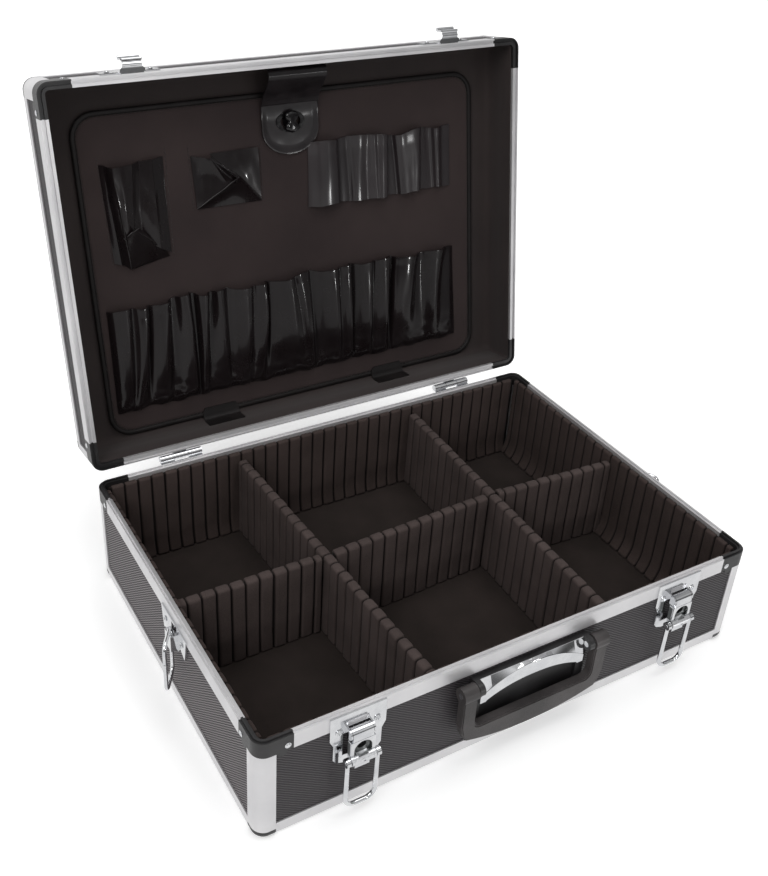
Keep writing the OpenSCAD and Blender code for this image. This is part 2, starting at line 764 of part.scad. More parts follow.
// y = 0 is the top of the plate, z = 0 the rim face
module strap_plate() {
    h = 20;
    box = 6;
    difference() {
        union() {
            translate([0, 0, fit]) linear_extrude(plate_t)
                polygon([[-strap_half, 0], [strap_half, 0], [strap_half - 2, -12], [strap_half - 4, -h - 1],
                    [strap_half - 12, -h + 4], [box + 2, -h - 3], [-box - 2, -h - 3], [-strap_half + 12, -h + 4],
                    [-strap_half + 4, -h - 1], [-strap_half + 2, -12]]);
            translate([0, 0, -panel_face + 0.05]) linear_extrude(panel_face + 0.1)
                polygon([[strap_half - 3, -rim_flange + strap_top - 1], [strap_half - 4, -h - 1],
                    [strap_half - 12, -h + 4], [box + 2, -h - 3], [-box - 2, -h - 3], [-strap_half + 12, -h + 4],
                    [-strap_half + 4, -h - 1], [-strap_half + 3, -rim_flange + strap_top - 1]]);
            translate([-box, -h - 3, 0.2]) cube([2 * box, h + 3 - ring_bend - 2.2, ring_out + 2.4]);
        }
        translate([0, -h - 20, ring_out]) rotate([-90, 0, 0]) cylinder(r = ring_r + run_fit, h = 50, $fn = 32);
        translate([-4, -ring_bend - 2.3, -2]) cube([8, ring_bend + 0.6, 8]);
    }
}

module strap_plate_left() {
    color(chrome) on_left(-strap_y, strap_z) strap_plate();
}

module strap_plate_right() {
    color(chrome) mirror([1, 0, 0]) on_left(-strap_y, strap_z) strap_plate();
}

// Ring about its upright hinge leg; it reaches out along x before it is turned to its rest place
module strap_ring() {
    b = ring_bend;
    top = -1.9;
    union() {
        for (x = [0, ring_w])
            translate([x, top - ring_h + b, 0]) rotate([-90, 0, 0]) cylinder(r = ring_r, h = ring_h - 2 * b, $fn = 32);
        for (y = [top, top - ring_h])
            translate([b, y, 0]) rotate([0, 90, 0]) cylinder(r = ring_r, h = ring_w - 2 * b, $fn = 32);
        for (c = [[b, top - b, 90], [ring_w - b, top - b, 0], [ring_w - b, top - ring_h + b, 270], [b, top - ring_h + b, 180]])
            translate([c[0], c[1], 0]) rotate([0, 0, c[2]]) rotate_extrude(angle = 90, $fn = 64)
                translate([b, 0]) circle(ring_r, $fn = 32);
        translate([ring_w, top - 17, 0]) sphere(r = ring_r + 0.5, $fn = 24);
    }
}

module strap_ring_left() {
    color(chrome) on_left(-strap_y, strap_z) translate([0, 0, ring_out])
        rotate([0, -90 + ring_rest, 0]) strap_ring();
}

module strap_ring_right() {
    color(chrome) mirror([1, 0, 0]) on_left(-strap_y, strap_z) translate([0, 0, ring_out])
        rotate([0, -90 + ring_rest, 0]) strap_ring();
}

module hardware_screws() {
    color(chrome) {
        for (s = [-1, 1], t = [-1, 1]) on_front(s * latch_x + t * latch_screw_x, lever_z + 1)
            translate([0, 0, plate_t + fit + 0.02]) screw_head(2.8, 1.1);
        for (s = [-1, 1]) on_front(s * (back_half - 4), handle_z + 7 - back_h)
            translate([0, 0, back_out - 0.58]) screw_head(2.4, 1);
        for (m = [0, 1], t = [-1, 1]) mirror([m, 0, 0]) on_left(-strap_y + t * 16.5, strap_z - 9)
            translate([0, 0, plate_t + fit + 0.02]) screw_head(2.4, 1);
    }
}

// ---- lid, drawn shut and placed open ----

module lid_top_panel() {
    color(board) lid_place() from_lid_top() {
        linear_extrude(al_t + fit + 0.01) rrect(case_w - 2 * edge_flange - 0.2, case_d - 2 * edge_flange - 0.2, 3);
        translate([0, 0, al_t + fit]) linear_extrude(panel_t)
            rrect(case_w - 2 * edge_r - 0.4, case_d - 2 * edge_r - 0.4, edge_r - 0.4);
    }
}

module lid_wall_panels() {
    color(board) lid_place()
        for (s = [[0, hd, case_w], [90, hw, case_d], [180, hd, case_w], [270, hw, case_d]])
            rotate([0, 0, s[0]]) translate([0, s[1], 0])
                wall_board(s[2], lid_z + lid_rim_t + fit, lid_top - edge_r);
}

module lid_rim_rails() {
    color(silver) lid_place() run_sides(rim_leg + fit) lid_rim_profile();
}

module lid_edge_rails() {
    color(silver) lid_place() from_lid_top() run_sides(post_flange + fit)
        translate([-edge_flange, 0]) edge_shell(edge_flange, edge_flange);
}

module lid_corner_posts() {
    color(silver) lid_place() at_corners() corner_wrap(corner_leg)
        translate([corner_r - al_t, lid_z + rim_flange + fit])
            square([al_t, lid_h - rim_flange - cap_h - 2 * fit]);
}

module lid_rim_corners() {
    color(black) lid_place() at_corners() {
        corner_wrap(rim_arm) translate([corner_r, 0]) lid_rim_profile();
        both_legs() rim_lobe(lid_z + rim_flange);
    }
}

module lid_edge_caps() {
    color(black) lid_place() from_lid_top() at_corners() corner_wrap(corner_leg) edge_shell(corner_r, cap_h);
}

module lid_rivets() {
    color(chrome) lid_place() rim_rivets(lid_z + 8.5);
}

module lid_lining() {
    top = lid_top - panel_in - 0.05;
    pad = top - board_face - board_t - 0.1;
    step = lid_z + rim_inner + 0.1;
    inn = lid_rim_w + 0.4;
    color(cloth) lid_place() {
        translate([0, 0, step]) linear_extrude(top - step - pad + 0.01) difference() {
            rrect(case_w - 2 * lining_out, case_d - 2 * lining_out, 5);
            rrect(case_w - 2 * inn, case_d - 2 * inn, 3);
        }
        translate([0, 0, lid_z + lid_rim_t + 0.1]) linear_extrude(step - lid_z - lid_rim_t) difference() {
            rrect(case_w - 2 * rim_w - 0.3, case_d - 2 * rim_w - 0.3, corner_r - rim_w - 0.15);
            rrect(case_w - 2 * inn, case_d - 2 * inn, 3);
        }
        translate([0, 0, top - pad]) linear_extrude(pad)
            rrect(case_w - 2 * lining_out, case_d - 2 * lining_out, 5);
    }
}

// Hook over which the bail closes; y = 0 is the tray rim, z = 0 the rim face
module strike() {
    base = seam_gap + 1.6;
    tongue_y = bail_len - lever_drop - bail_drop - bail_r - 0.7;
    difference() {
        union() {
            translate([0, 0, fit]) linear_extrude(plate_t)
                polygon([[-9.5, base], [9.5, base], [11, base + 5], [25, base + 5], [25, base + 17], [12, base + 19],
                    [10, base + 22], [-10, base + 22], [-12, base + 19], [-25, base + 17], [-25, base + 5],
                    [-11, base + 5]]);
            translate([0, 0, -panel_face + 0.05]) linear_extrude(panel_face + 0.1)
                polygon([[-24, rim_flange + seam_gap + 0.2], [24, rim_flange + seam_gap + 0.2], [24, base + 17],
                    [12, base + 19], [10, base + 22], [-10, base + 22], [-12, base + 19], [-24, base + 17]]);
            translate([-hook_half, tongue_y - 1.8, fit]) cube([2 * hook_half, 1.8, 11.6]);
            translate([-hook_lip_half, tongue_y - 1.8, 10.3]) cube([2 * hook_lip_half, 7.6, 1.5]);
            translate([0, tongue_y + 6, 12.2]) rotate([0, 90, 0])
                cylinder(r = 1.6, h = 2 * hook_lip_half, center = true, $fn = 32);
        }
        translate([-6.5, tongue_y + 3, -3]) cube([13, 9, 5.2]);
    }
}

module strikes() {
    color(chrome) lid_place() for (s = [-1, 1]) on_front(s * latch_x, tray_h) strike();
}

module strike_screws() {
    color(chrome) lid_place() for (s = [-1, 1], t = [-1, 1])
        on_front(s * latch_x + t * 18, tray_h + 13) translate([0, 0, plate_t + fit + 0.02]) screw_head(2.6, 1.1);
}

// ---- pallet with pockets ----

module board_area(grow) {
    translate([0, (board_y0 + board_y1) / 2])
        rrect(2 * board_x + 2 * grow, board_y1 - board_y0 + 2 * grow, board_r + grow);
}

module pallet_board() {
    color(cloth) lid_place() translate([0, 0, board_face]) linear_extrude(board_t) board_area(-binding_w);
}

module pallet_binding() {
    color(black) lid_place() translate([0, 0, board_face - 0.9]) linear_extrude(board_t + 0.8) difference() {
        board_area(0);
        board_area(-binding_w + 0.02);
    }
}

// Soft pouch lying closed on the board: mouth at y0, fullest low down, gathered at y1
module pouch(x0, x1, y0, y1, d) {
    run = y1 - y0;
    translate([x0, 0, on_board]) rotate([90, 0, 90]) linear_extrude(x1 - x0)
        polygon([[y0, 0], [y0, -d * 0.7], [y0 + run * 0.3, -d * 0.9], [y0 + run * 0.7, -d],
            [y0 + run * 0.93, -d * 0.8], [y1, -d * 0.3], [y1, 0]]);
}

// Soft loop lying on the board, rounded across
module loop_band(x0, x1, y0, y1, d) {
    half = (x1 - x0) / 2;
    translate([x0 + half, y1, on_board]) rotate([90, 0, 0]) linear_extrude(y1 - y0)
        polygon([for (i = [0:8]) [-half * cos(i * 22.5), -d * sin(i * 22.5)]]);
}

module pocket_tall() {
    color(cloth) lid_place() pouch(tall_x, tall_x + tall_w, mouth_y, mouth_y + tall_h, tall_d);
}

module pocket_envelope() {
    w = envelope_end - envelope_x;
    color(cloth) lid_place() translate([envelope_x, mouth_y + 5, on_board]) {
        translate([0, 0, -3]) cube([w, envelope_h, 3]);
        translate([0, 0, -5.2]) cube([w, envelope_h / 2, 2.4]);
    }
}

module upper_loops() {
    x0 = strap_w / 2 - 6;
    w = (board_x - loops_in - x0) / loop_n;
    y0 = mouth_y + 5;
    color(cloth) lid_place() for (i = [0:loop_n - 1])
        loop_band(x0 + i * w + 0.3, x0 + (i + 1) * w - 0.3, y0, y0 + loop_h, loop_d);
}

module lower_pockets() {
    x0 = -board_x + low_left;
    w = (board_x - low_right - x0) / low_n;
    y0 = mouth_y + tall_h + low_gap;
    color(black) lid_place() for (i = [0:low_n - 1])
        pouch(x0 + i * w + 0.3, x0 + (i + 1) * w - 0.3, y0, board_y1 - low_in, low_d);
}

module pallet_strap() {
    run = board_y0 + 10;
    top = on_board - 1.2;
    root = lid_z + strap_root;
    wall = -hd + lid_rim_w + 0.5;
    color(cloth) lid_place() difference() {
        union() {
            rotate([90, 0, 90]) linear_extrude(strap_w, center = true)
                polygon([[wall, root], [wall + 1.6, root], [wall + 1.6, root + 3], [run, top - 1.6], [button_y + 4, top - 1.6],
                    [button_y + 4, top], [run, top], [wall + 0.2, root + 5], [wall, root + 5]]);
            translate([0, button_y + 4, top - 1.6]) linear_extrude(1.6) {
                translate([-strap_w / 2, -0.1]) square([strap_w, 4]);
                translate([0, 3.8]) intersection() {
                    scale([1, 0.75]) circle(strap_w / 2, $fn = 60);
                    translate([-strap_w / 2, 0]) square([strap_w, strap_w / 2]);
                }
            }
        }
        translate([0, button_y, top - 5]) scale([eyelet_wide, 1, 1]) cylinder(r = eyelet_r + 0.5, h = 8, $fn = 48);
    }
}

module strap_eyelet() {
    color(black) lid_place() translate([0, button_y, on_board - 3.6]) difference() {
        union() {
            scale([eyelet_wide, 1, 1]) cylinder(r = eyelet_r + 2.4, h = 0.7, $fn = 48);
            scale([eyelet_wide, 1, 1]) cylinder(r = eyelet_r + 0.2, h = 2.6, $fn = 48);
        }
        translate([0, 0, -1]) scale([eyelet_wide, 1, 1]) cylinder(r = eyelet_r - 0.5, h = 6, $fn = 48);
    }
}

module button_base() {
    color(black) lid_place() translate([0, button_y, on_board - 1.5]) difference() {
        cylinder(r = 6.5, h = 1.5, $fn = 40);
        translate([0, 0, -1]) cylinder(r = stem_r + run_fit, h = 5, $fn = 32);
    }
}

module turn_button() {
    color(black) lid_place() translate([0, button_y, on_board]) {
        translate([0, 0, -6]) cylinder(r = stem_r, h = 5.9, $fn = 32);
        translate([0, 0, -8.6]) {
            for (s = [-1, 1]) translate([0, s * 5.2, 0]) cylinder(r = 4.6, h = 3.2, $fn = 40);
            translate([-2.6, -5.2, 0]) cube([5.2, 10.4, 3.2]);
        }
    }
}

module pallet_tabs() {
    color(cloth) lid_place() for (s = [-1, 1])
        translate([s * tab_x - tab_w / 2, hd - lid_rim_w - 0.4 - 0.1, board_face - 17]) {
            translate([0, -1.5, 0]) cube([tab_w, 1.5, 16]);
            translate([0, -8, 14.6]) cube([tab_w, 8, 1.4]);
        }
}

// ---- lift-out dividers ----

// Padded divider along x, middle at the origin; ends a and b, first is the offset of its grooves
module divider(a, b, first, tongue_a, tongue_b) {
    n = ceil((b - a) / rib_pitch);
    translate([a - tongue_a, -core_t / 2, 0]) cube([b - a + tongue_a + tongue_b, core_t, divider_h - 1.5]);
    for (i = [-n:n]) {
        p = max(i * rib_pitch + first + groove_w / 2, a);
        q = min((i + 1) * rib_pitch + first - groove_w / 2, b);
        if (q - p > 2.5)
            translate([p, 0, 0]) rotate([90, 0, 90]) linear_extrude(q - p) {
                translate([-divider_t / 2, 0]) square([divider_t, divider_h - 3]);
                translate([-divider_t / 2 + 1.5, 0]) square([divider_t - 3, divider_h]);
                for (s = [-1, 1]) translate([s * (divider_t / 2 - 3), divider_h - 3]) circle(3, $fn = 20);
            }
    }
}

module long_divider(first) {
    reach = (inner_y - soft_gap - 0.6) / cos(long_turn) - divider_t / 2 * sin(long_turn);
    divider(-reach, reach, first, rib_t - 0.4, rib_t - 0.4);
    for (s = [-1, 1]) translate([first - 0.4, s * 1.5 - 0.4, divider_h - 1.6]) cube([0.8, 0.8, 3]);
    translate([first - 0.4, -1.9, divider_h + 0.8]) cube([0.8, 3.8, 0.8]);
}

module long_divider_left() {
    color(foam) translate([-long_x, 0, divider_z]) rotate([0, 0, 90 + long_turn]) long_divider(0);
}

module long_divider_right() {
    color(foam) translate([long_x, 0, divider_z]) rotate([0, 0, 90 - long_turn]) long_divider(cross_shift);
}

// Cross divider between two points, with its sheet reaching into the grooves at both ends
module cross_divider(x0, y0, x1, y1) {
    len = norm([x1 - x0, y1 - y0]) / 2;
    translate([(x0 + x1) / 2, (y0 + y1) / 2, divider_z])
        rotate([0, 0, atan2(y1 - y0, x1 - x0)]) divider(-len, len, rib_pitch / 2, 2, 2);
}

beside = divider_t / 2 + soft_gap + 0.9;

module cross_divider_left() {
    color(foam) cross_divider(-inner_x + soft_gap + 0.3, 0, -long_x - beside, 0);
}

module cross_divider_middle() {
    color(foam) cross_divider(-long_x + beside, 0, long_x - beside, cross_shift);
}

module cross_divider_right() {
    color(foam) cross_divider(long_x + beside, cross_shift, inner_x - soft_gap - 0.3, 0);
}

bottom_panel();
front_panel();
back_panel();
left_panel();
right_panel();
tray_rim_rails();
tray_base_rails();
tray_corner_posts();
tray_rim_corners();
tray_base_caps();
tray_rivets();
wall_lining();
floor_lining();
latch_plate_left();
latch_plate_right();
latch_pins();
hinge_lower_leaves();
hinge_pins();
handle_backplate();
handle_arch();
handle_pins();
strap_plate_left();
strap_plate_right();
hardware_screws();
lid_top_panel();
lid_wall_panels();
lid_rim_rails();
lid_edge_rails();
lid_corner_posts();
lid_rim_corners();
lid_edge_caps();
lid_rivets();
lid_lining();
hinge_upper_leaves();
strikes();
strike_screws();
pallet_board();
pallet_binding();
pocket_tall();
pocket_envelope();
upper_loops();
lower_pockets();
pallet_strap();
strap_eyelet();
button_base();
pallet_tabs();
turn_button();
latch_lever_left();
latch_lever_right();
latch_bail_left();
latch_bail_right();
handle_grip();
strap_ring_left();
strap_ring_right();
long_divider_left();
long_divider_right();
cross_divider_left();
cross_divider_middle();
cross_divider_right();
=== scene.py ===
import json
import math
import random

import bmesh
import bpy
from mathutils import Matrix, Vector, noise


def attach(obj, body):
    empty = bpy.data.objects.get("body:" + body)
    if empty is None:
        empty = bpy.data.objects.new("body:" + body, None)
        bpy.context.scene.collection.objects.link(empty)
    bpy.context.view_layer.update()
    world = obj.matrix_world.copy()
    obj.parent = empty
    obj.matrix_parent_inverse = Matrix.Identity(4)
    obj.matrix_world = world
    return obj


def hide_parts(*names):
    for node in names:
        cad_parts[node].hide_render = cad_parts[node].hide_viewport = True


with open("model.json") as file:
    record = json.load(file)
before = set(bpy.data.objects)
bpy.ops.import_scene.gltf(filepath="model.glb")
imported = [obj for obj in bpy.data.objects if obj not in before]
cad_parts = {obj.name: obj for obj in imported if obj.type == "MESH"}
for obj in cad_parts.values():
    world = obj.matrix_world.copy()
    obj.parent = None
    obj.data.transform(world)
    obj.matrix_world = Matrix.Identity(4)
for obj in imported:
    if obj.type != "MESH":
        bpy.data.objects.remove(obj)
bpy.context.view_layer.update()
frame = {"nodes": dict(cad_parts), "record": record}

# ---------------- sizes as in the part, in metres if not _MM
MM = 0.001
WELD = 2e-6
UP = Vector((0, 0, 1))
HW, HD = 0.455 / 2, 0.330 / 2
WALL_X_MM, WALL_Y_MM = 227.5, 165
TRAY_H = 0.097
LID_Z = 0.0974
LEVER_Z = TRAY_H - 0.017
LATCH_X_MM = 150.0
PIVOT = Vector((0, HD + 0.005, TRAY_H + 0.0026))
OPEN = math.radians(100)
LID = Matrix.Translation(PIVOT) @ Matrix.Rotation(-OPEN, 4, "X") @ Matrix.Translation(-PIVOT)
BOARD_UP_MM = 36.8
BOARD_Z = LID_Z + 0.0368
BUTTON_Y_MM = -108.0


# ---------------- material helpers
class Nodes:
    """One node tree: calls add nodes and wire them, and every call gives back an output socket."""

    def __init__(self, tree):
        self.t = tree

    def node(self, kind, **props):
        n = self.t.nodes.new(kind)
        for k, v in props.items():
            setattr(n, k, v)
        return n

    def wire(self, a, socket):
        if isinstance(a, bpy.types.NodeSocket):
            self.t.links.new(a, socket)
        elif isinstance(a, tuple):
            socket.default_value = (*a, 1) if len(a) == 3 and len(socket.default_value) == 4 else a
        else:
            socket.default_value = a

    def math(self, op, a, b=0.0):
        n = self.node("ShaderNodeMath", operation=op)
        self.wire(a, n.inputs[0])
        self.wire(b, n.inputs[1])
        return n.outputs[0]

    def add(self, a, b):
        return self.math("ADD", a, b)

    def sub(self, a, b):
        return self.math("SUBTRACT", a, b)

    def mul(self, a, b):
        return self.math("MULTIPLY", a, b)

    def ramp(self, fac, lo, hi, a=0.0, b=1.0, ease="LINEAR"):
        n = self.node("ShaderNodeMapRange", clamp=True, interpolation_type=ease)
        self.wire(fac, n.inputs["Value"])
        for k, v in (("From Min", lo), ("From Max", hi), ("To Min", a), ("To Max", b)):
            n.inputs[k].default_value = v
        return n.outputs[0]

    def xyz(self, vec):
        n = self.node("ShaderNodeSeparateXYZ")
        self.wire(vec, n.inputs[0])
        return n.outputs

    def choose(self, fac, a, b):
        """The number a where fac is 0 and b where it is 1."""
        n = self.node("ShaderNodeMix", data_type="FLOAT")
        for k, v in ((0, fac), (2, a), (3, b)):
            self.wire(v, n.inputs[k])
        return n.outputs[0]


class Mat(Nodes):
    """A material: textures in the object's own metres, led to the inputs of one Principled shader."""

    def __init__(self, name, color, rough=0.5, metal=0.0, coat=0.0, coat_rough=0.15, spec=0.5, sheen=0.0):
        self.m = bpy.data.materials.new(name)
        self.m.use_nodes = True
        super().__init__(self.m.node_tree)
        self.b = self.t.nodes["Principled BSDF"]
        for k, v in (("Base Color", (*color, 1)), ("Roughness", rough), ("Metallic", metal),
                     ("Coat Weight", coat), ("Coat Roughness", coat_rough), ("Specular IOR Level", spec),
                     ("Sheen Weight", sheen), ("Sheen Roughness", 0.5)):
            self.b.inputs[k].default_value = v
        self.co = self.node("ShaderNodeTexCoord").outputs["Object"]

    def scaled(self, x, y, z):
        n = self.node("ShaderNodeMapping")
        self.wire(self.co, n.inputs["Vector"])
        n.inputs["Scale"].default_value = (x, y, z)
        return n.outputs[0]

    def noise(self, scale, detail=4.0, rough=0.5, vec=None):
        n = self.node("ShaderNodeTexNoise")
        self.wire(vec or self.co, n.inputs["Vector"])
        for k, v in (("Scale", scale), ("Detail", detail), ("Roughness", rough)):
            n.inputs[k].default_value = v
        return n.outputs["Fac"]

    def voronoi(self, scale):
        n = self.node("ShaderNodeTexVoronoi")
        self.wire(self.co, n.inputs["Vector"])
        n.inputs["Scale"].default_value = scale
        return n.outputs["Distance"]

    def mix(self, fac, a, b):
        n = self.node("ShaderNodeMix", data_type="RGBA")
        for k, v in ((0, fac), (6, a), (7, b)):
            self.wire(v, n.inputs[k])
        return n.outputs[2]

    def tones(self, fac, low, high, lo=0.35, hi=0.7):
        """Two colours mixed by a texture, which counts between lo and hi."""
        return self.mix(self.ramp(fac, lo, hi), low, high)

    def bump(self, height, distance, strength, after=None):
        n = self.node("ShaderNodeBump")
        n.inputs["Distance"].default_value = distance
        n.inputs["Strength"].default_value = strength
        self.wire(height, n.inputs["Height"])
        if after:
            self.wire(after, n.inputs["Normal"])
        return n.outputs[0]

    def finish(self, color, rough, normal):
        for k, v in (("Base Color", color), ("Roughness", rough), ("Normal", normal)):
            self.wire(v, self.b.inputs[k])
        return self.m


def srgb(r, g, b):
    def f(c):
        c /= 255
        return c / 12.92 if c <= 0.04045 else ((c + 0.055) / 1.055) ** 2.4
    return (f(r), f(g), f(b))


# ---------------- materials
def make_board(name, u_of, v_of, low, high, across, along, slant=0.68, spec=0.4):
    """Dark laminate with fine slanting ridges.

    u_of and v_of name the ways the face runs, low and high are its tones, across and along the waves' lengths
    in metres, and slant says how much of u is added to v.
    """
    m = Mat(name, high, rough=0.42, spec=spec)
    x, y, z = m.xyz(m.co)
    sin, cos = math.sin(OPEN), math.cos(OPEN)
    rise = m.add(m.mul(y, sin), m.mul(z, cos))
    run = m.add(x, m.sub(m.mul(y, cos), m.mul(z, sin)))
    axes = {"x": x, "y": y, "z": z, "lid_rise": rise, "lid_run": run}
    u = m.math("SINE", m.mul(axes[u_of], 2 * math.pi / across))
    v = m.mul(m.add(axes[v_of], m.mul(axes[u_of], slant)), 2 * math.pi / along)
    ridge = m.math("SINE", m.add(v, m.mul(u, 0.3)))
    beads = m.mul(ridge, m.mul(u, 0.5))
    h = m.ramp(m.add(m.mul(ridge, 0.62), m.mul(beads, 0.25)), -0.6, 0.6)
    tone = m.mix(h, low, high)
    worn = m.tones(m.noise(38, 5, 0.6), tone, m.mix(0.25, tone, m.mix(0.5, low, high)), 0.35, 0.75)
    return m.finish(worn, m.ramp(h, 0, 1, 0.6, 0.36), m.bump(h, 0.0004, 0.8))


def make_extrusion():
    m = Mat("satin_aluminium", srgb(222, 221, 222), rough=0.34, metal=0.72)
    drawn = m.noise(1.0, 6, 0.65, m.scaled(18, 18, 900))
    return m.finish(m.tones(m.noise(22, 4, 0.5), srgb(214, 213, 215), srgb(231, 230, 231), 0.3),
                    m.ramp(drawn, 0.3, 0.7, 0.28, 0.42), m.bump(drawn, 0.00008, 0.35))


def plating(name, rough):
    """Bright plated steel, not yet finished: the material, its fine texture, colour, gloss and dents."""
    m = Mat(name, srgb(226, 227, 229), rough=rough, metal=1.0)
    fine = m.noise(1400, 3, 0.6)
    color = m.tones(m.noise(60, 5, 0.6), srgb(214, 215, 218), srgb(234, 235, 236))
    return m, fine, color, m.ramp(fine, 0.3, 0.75, 0.06, 0.17), m.bump(m.noise(240, 3, 0.5), 0.00012, 0.25)


def make_chrome():
    m, _, color, gloss, dents = plating("bright_plated_steel", 0.09)
    return m.finish(color, gloss, dents)


def make_lever():
    """Plated like the rest, satin along the roll, and grey with painted shade down in the hollow below the
    lever's top.
    """
    m, fine, color, gloss, dents = plating("lever_plating", 0.1)
    _, y, z = m.xyz(m.co)
    deep = m.ramp(y, -HD - 0.0082, -HD - 0.0078)
    over_roll = m.ramp(z, LEVER_Z - 0.0192, LEVER_Z - 0.0189)
    under_top = m.sub(1.0, m.ramp(z, LEVER_Z - 0.0066, LEVER_Z - 0.0062))
    shaded_recess = m.mul(m.mul(deep, under_top), over_roll)
    roll = m.sub(1.0, over_roll)
    # painted shade: the plating turns grey down in the hollow, where shade falls
    color = m.mix(shaded_recess, color, m.tones(fine, srgb(92, 95, 95), srgb(118, 120, 119), 0.3))
    return m.finish(color, m.add(gloss, m.add(m.mul(roll, 0.2), m.mul(shaded_recess, 0.3))), dents)


def make_padding(name, low, high, fleck):
    """Ribbed cloth with painted shade between its ribs: a mesh's own "groove" values darken it there, towards
    near black.
    """
    m = Mat(name, high, rough=0.85, spec=0.14, sheen=0.02)
    fine, soft = m.noise(1800, 4, 0.7), m.noise(24, 5, 0.55)
    base = m.tones(soft, low, high, 0.3, 0.72)
    cloth = m.tones(fine, base, m.mix(0.4, base, fleck))
    # painted shade: the mesh's groove values say how deep a point lies between two ribs
    groove = m.node("ShaderNodeAttribute", attribute_name="groove").outputs["Fac"]
    return m.finish(m.mix(m.ramp(groove, 0.15, 0.8, 0.0, 0.8), cloth, srgb(8, 6, 6)),
                    m.ramp(fine, 0.3, 0.7, 0.75, 0.92), m.bump(fine, 0.0003, 0.35, m.bump(soft, 0.0015, 0.4)))


def make_lid_cloth():
    m = Mat("lid_cloth", srgb(50, 43, 42), rough=0.8, spec=0.3, sheen=0.15)
    fine, soft = m.noise(1500, 4, 0.7), m.noise(14, 5, 0.55)
    base = m.tones(soft, srgb(31, 24, 24), srgb(42, 34, 33), 0.3, 0.72)
    return m.finish(m.tones(fine, base, m.mix(0.3, base, srgb(66, 56, 53))),
                    m.ramp(fine, 0.3, 0.7, 0.7, 0.88), m.bump(fine, 0.00025, 0.35, m.bump(soft, 0.002, 0.35)))


def make_board_cloth():
    m = Mat("pallet_cloth", srgb(48, 39, 38), rough=0.75, spec=0.22, sheen=0.06)
    fine, soft = m.voronoi(1300), m.noise(11, 5, 0.55)
    base = m.tones(soft, srgb(43, 34, 34), srgb(54, 44, 43), 0.3, 0.72)
    return m.finish(m.tones(fine, m.mix(0.35, base, srgb(24, 18, 18)), base, 0.1, 0.6),
                    m.ramp(fine, 0.1, 0.6, 0.66, 0.84), m.bump(fine, 0.00018, 0.3, m.bump(soft, 0.0012, 0.3)))


def make_vinyl(name, color, low, high, rough, spec, coat, coat_rough, drape, gloss):
    """Smooth vinyl under a clear coat; drape stretches its soft waves down the pallet."""
    m = Mat(name, color, rough=rough, spec=spec, coat=coat, coat_rough=coat_rough)
    soft = m.noise(24, 5, 0.55, m.scaled(1, 1, drape))
    return m.finish(m.tones(soft, low, high, 0.3, 0.72), m.ramp(m.noise(70, 4), 0.3, 0.75, *gloss),
                    m.bump(m.voronoi(1100), 0.0001, 0.2, m.bump(soft, 0.0008, 0.2)))


def make_moulded(name, color, low, high, blotch, grain, gloss, relief, rough, spec=0.5):
    """Plastic with a grain. grain names its texture, gloss the ramp to roughness, relief the bump."""
    m = Mat(name, color, rough=rough, spec=spec)
    texture, *how = grain
    g = getattr(m, texture)(*how)
    return m.finish(m.tones(m.noise(blotch, 4), low, high), m.ramp(g, *gloss), m.bump(g, *relief))


def make_strap():
    m = Mat("strap_vinyl", srgb(26, 22, 24), rough=0.4, spec=0.26, coat=0.12)
    crease = m.noise(60, 5, 0.6)
    return m.finish(m.tones(crease, srgb(20, 16, 18), srgb(32, 27, 29)), m.ramp(crease, 0.3, 0.75, 0.3, 0.48),
                    m.bump(m.voronoi(1200), 0.00012, 0.3, m.bump(crease, 0.0008, 0.3)))


def make_thread():
    m = Mat("dark_thread", srgb(30, 26, 25), rough=0.7, spec=0.3, sheen=0.2)
    twist = m.noise(2600, 3, 0.6)
    return m.finish(m.tones(twist, srgb(22, 19, 18), srgb(50, 44, 42), 0.3),
                    m.ramp(twist, 0.3, 0.7, 0.6, 0.8), m.bump(twist, 0.0001, 0.4))


DARK_BOARD = (srgb(24, 22, 24), srgb(65, 60, 64), 0.0061, 0.00243)
M_BOARD_FB = make_board("laminate_front_back", "x", "z", *DARK_BOARD)
# painted light: the left and right panels take a much lighter, higher-contrast copy of the same laminate
M_BOARD_SIDES_LIT = make_board("laminate_sides_painted_lit", "y", "z", srgb(32, 29, 31), srgb(124, 118, 120),
                        0.0071, 0.00245, slant=0.85, spec=0.15)
M_BOARD_LID = make_board("laminate_lid_walls", "lid_run", "lid_rise", *DARK_BOARD)
M_BOARD_TB = make_board("laminate_flat", "x", "y", srgb(40, 37, 40), srgb(80, 76, 79), 0.0042, 0.0026)
M_EXTR = make_extrusion()
M_CHROME = make_chrome()
M_LEVER = make_lever()
# the same padding cloth in three tones: lightest on the dividers, darker on the wall lining, darkest on the
# floor
M_PAD = make_padding("padding_cloth", srgb(54, 46, 44), srgb(73, 63, 61), srgb(97, 86, 83))
M_PAD_WALL = make_padding("wall_padding", srgb(46, 38, 36), srgb(63, 53, 51), srgb(88, 77, 73))
M_PAD_FLOOR = make_padding("floor_padding", srgb(29, 24, 22), srgb(44, 37, 35), srgb(68, 60, 56))
M_CLOTH = make_lid_cloth()
M_BOARD_CLOTH = make_board_cloth()
M_VINYL = make_vinyl("glossy_vinyl", srgb(22, 17, 18), srgb(18, 13, 14), srgb(27, 22, 23),
                     rough=0.3, spec=0.14, coat=0.34, coat_rough=0.09, drape=0.3, gloss=(0.24, 0.38))
M_LOOPS = make_vinyl("satin_vinyl", srgb(37, 31, 33), srgb(29, 24, 26), srgb(44, 38, 40),
                     rough=0.36, spec=0.3, coat=0.4, coat_rough=0.14, drape=0.25, gloss=(0.34, 0.48))
M_STRAP = make_strap()
M_THREAD = make_thread()
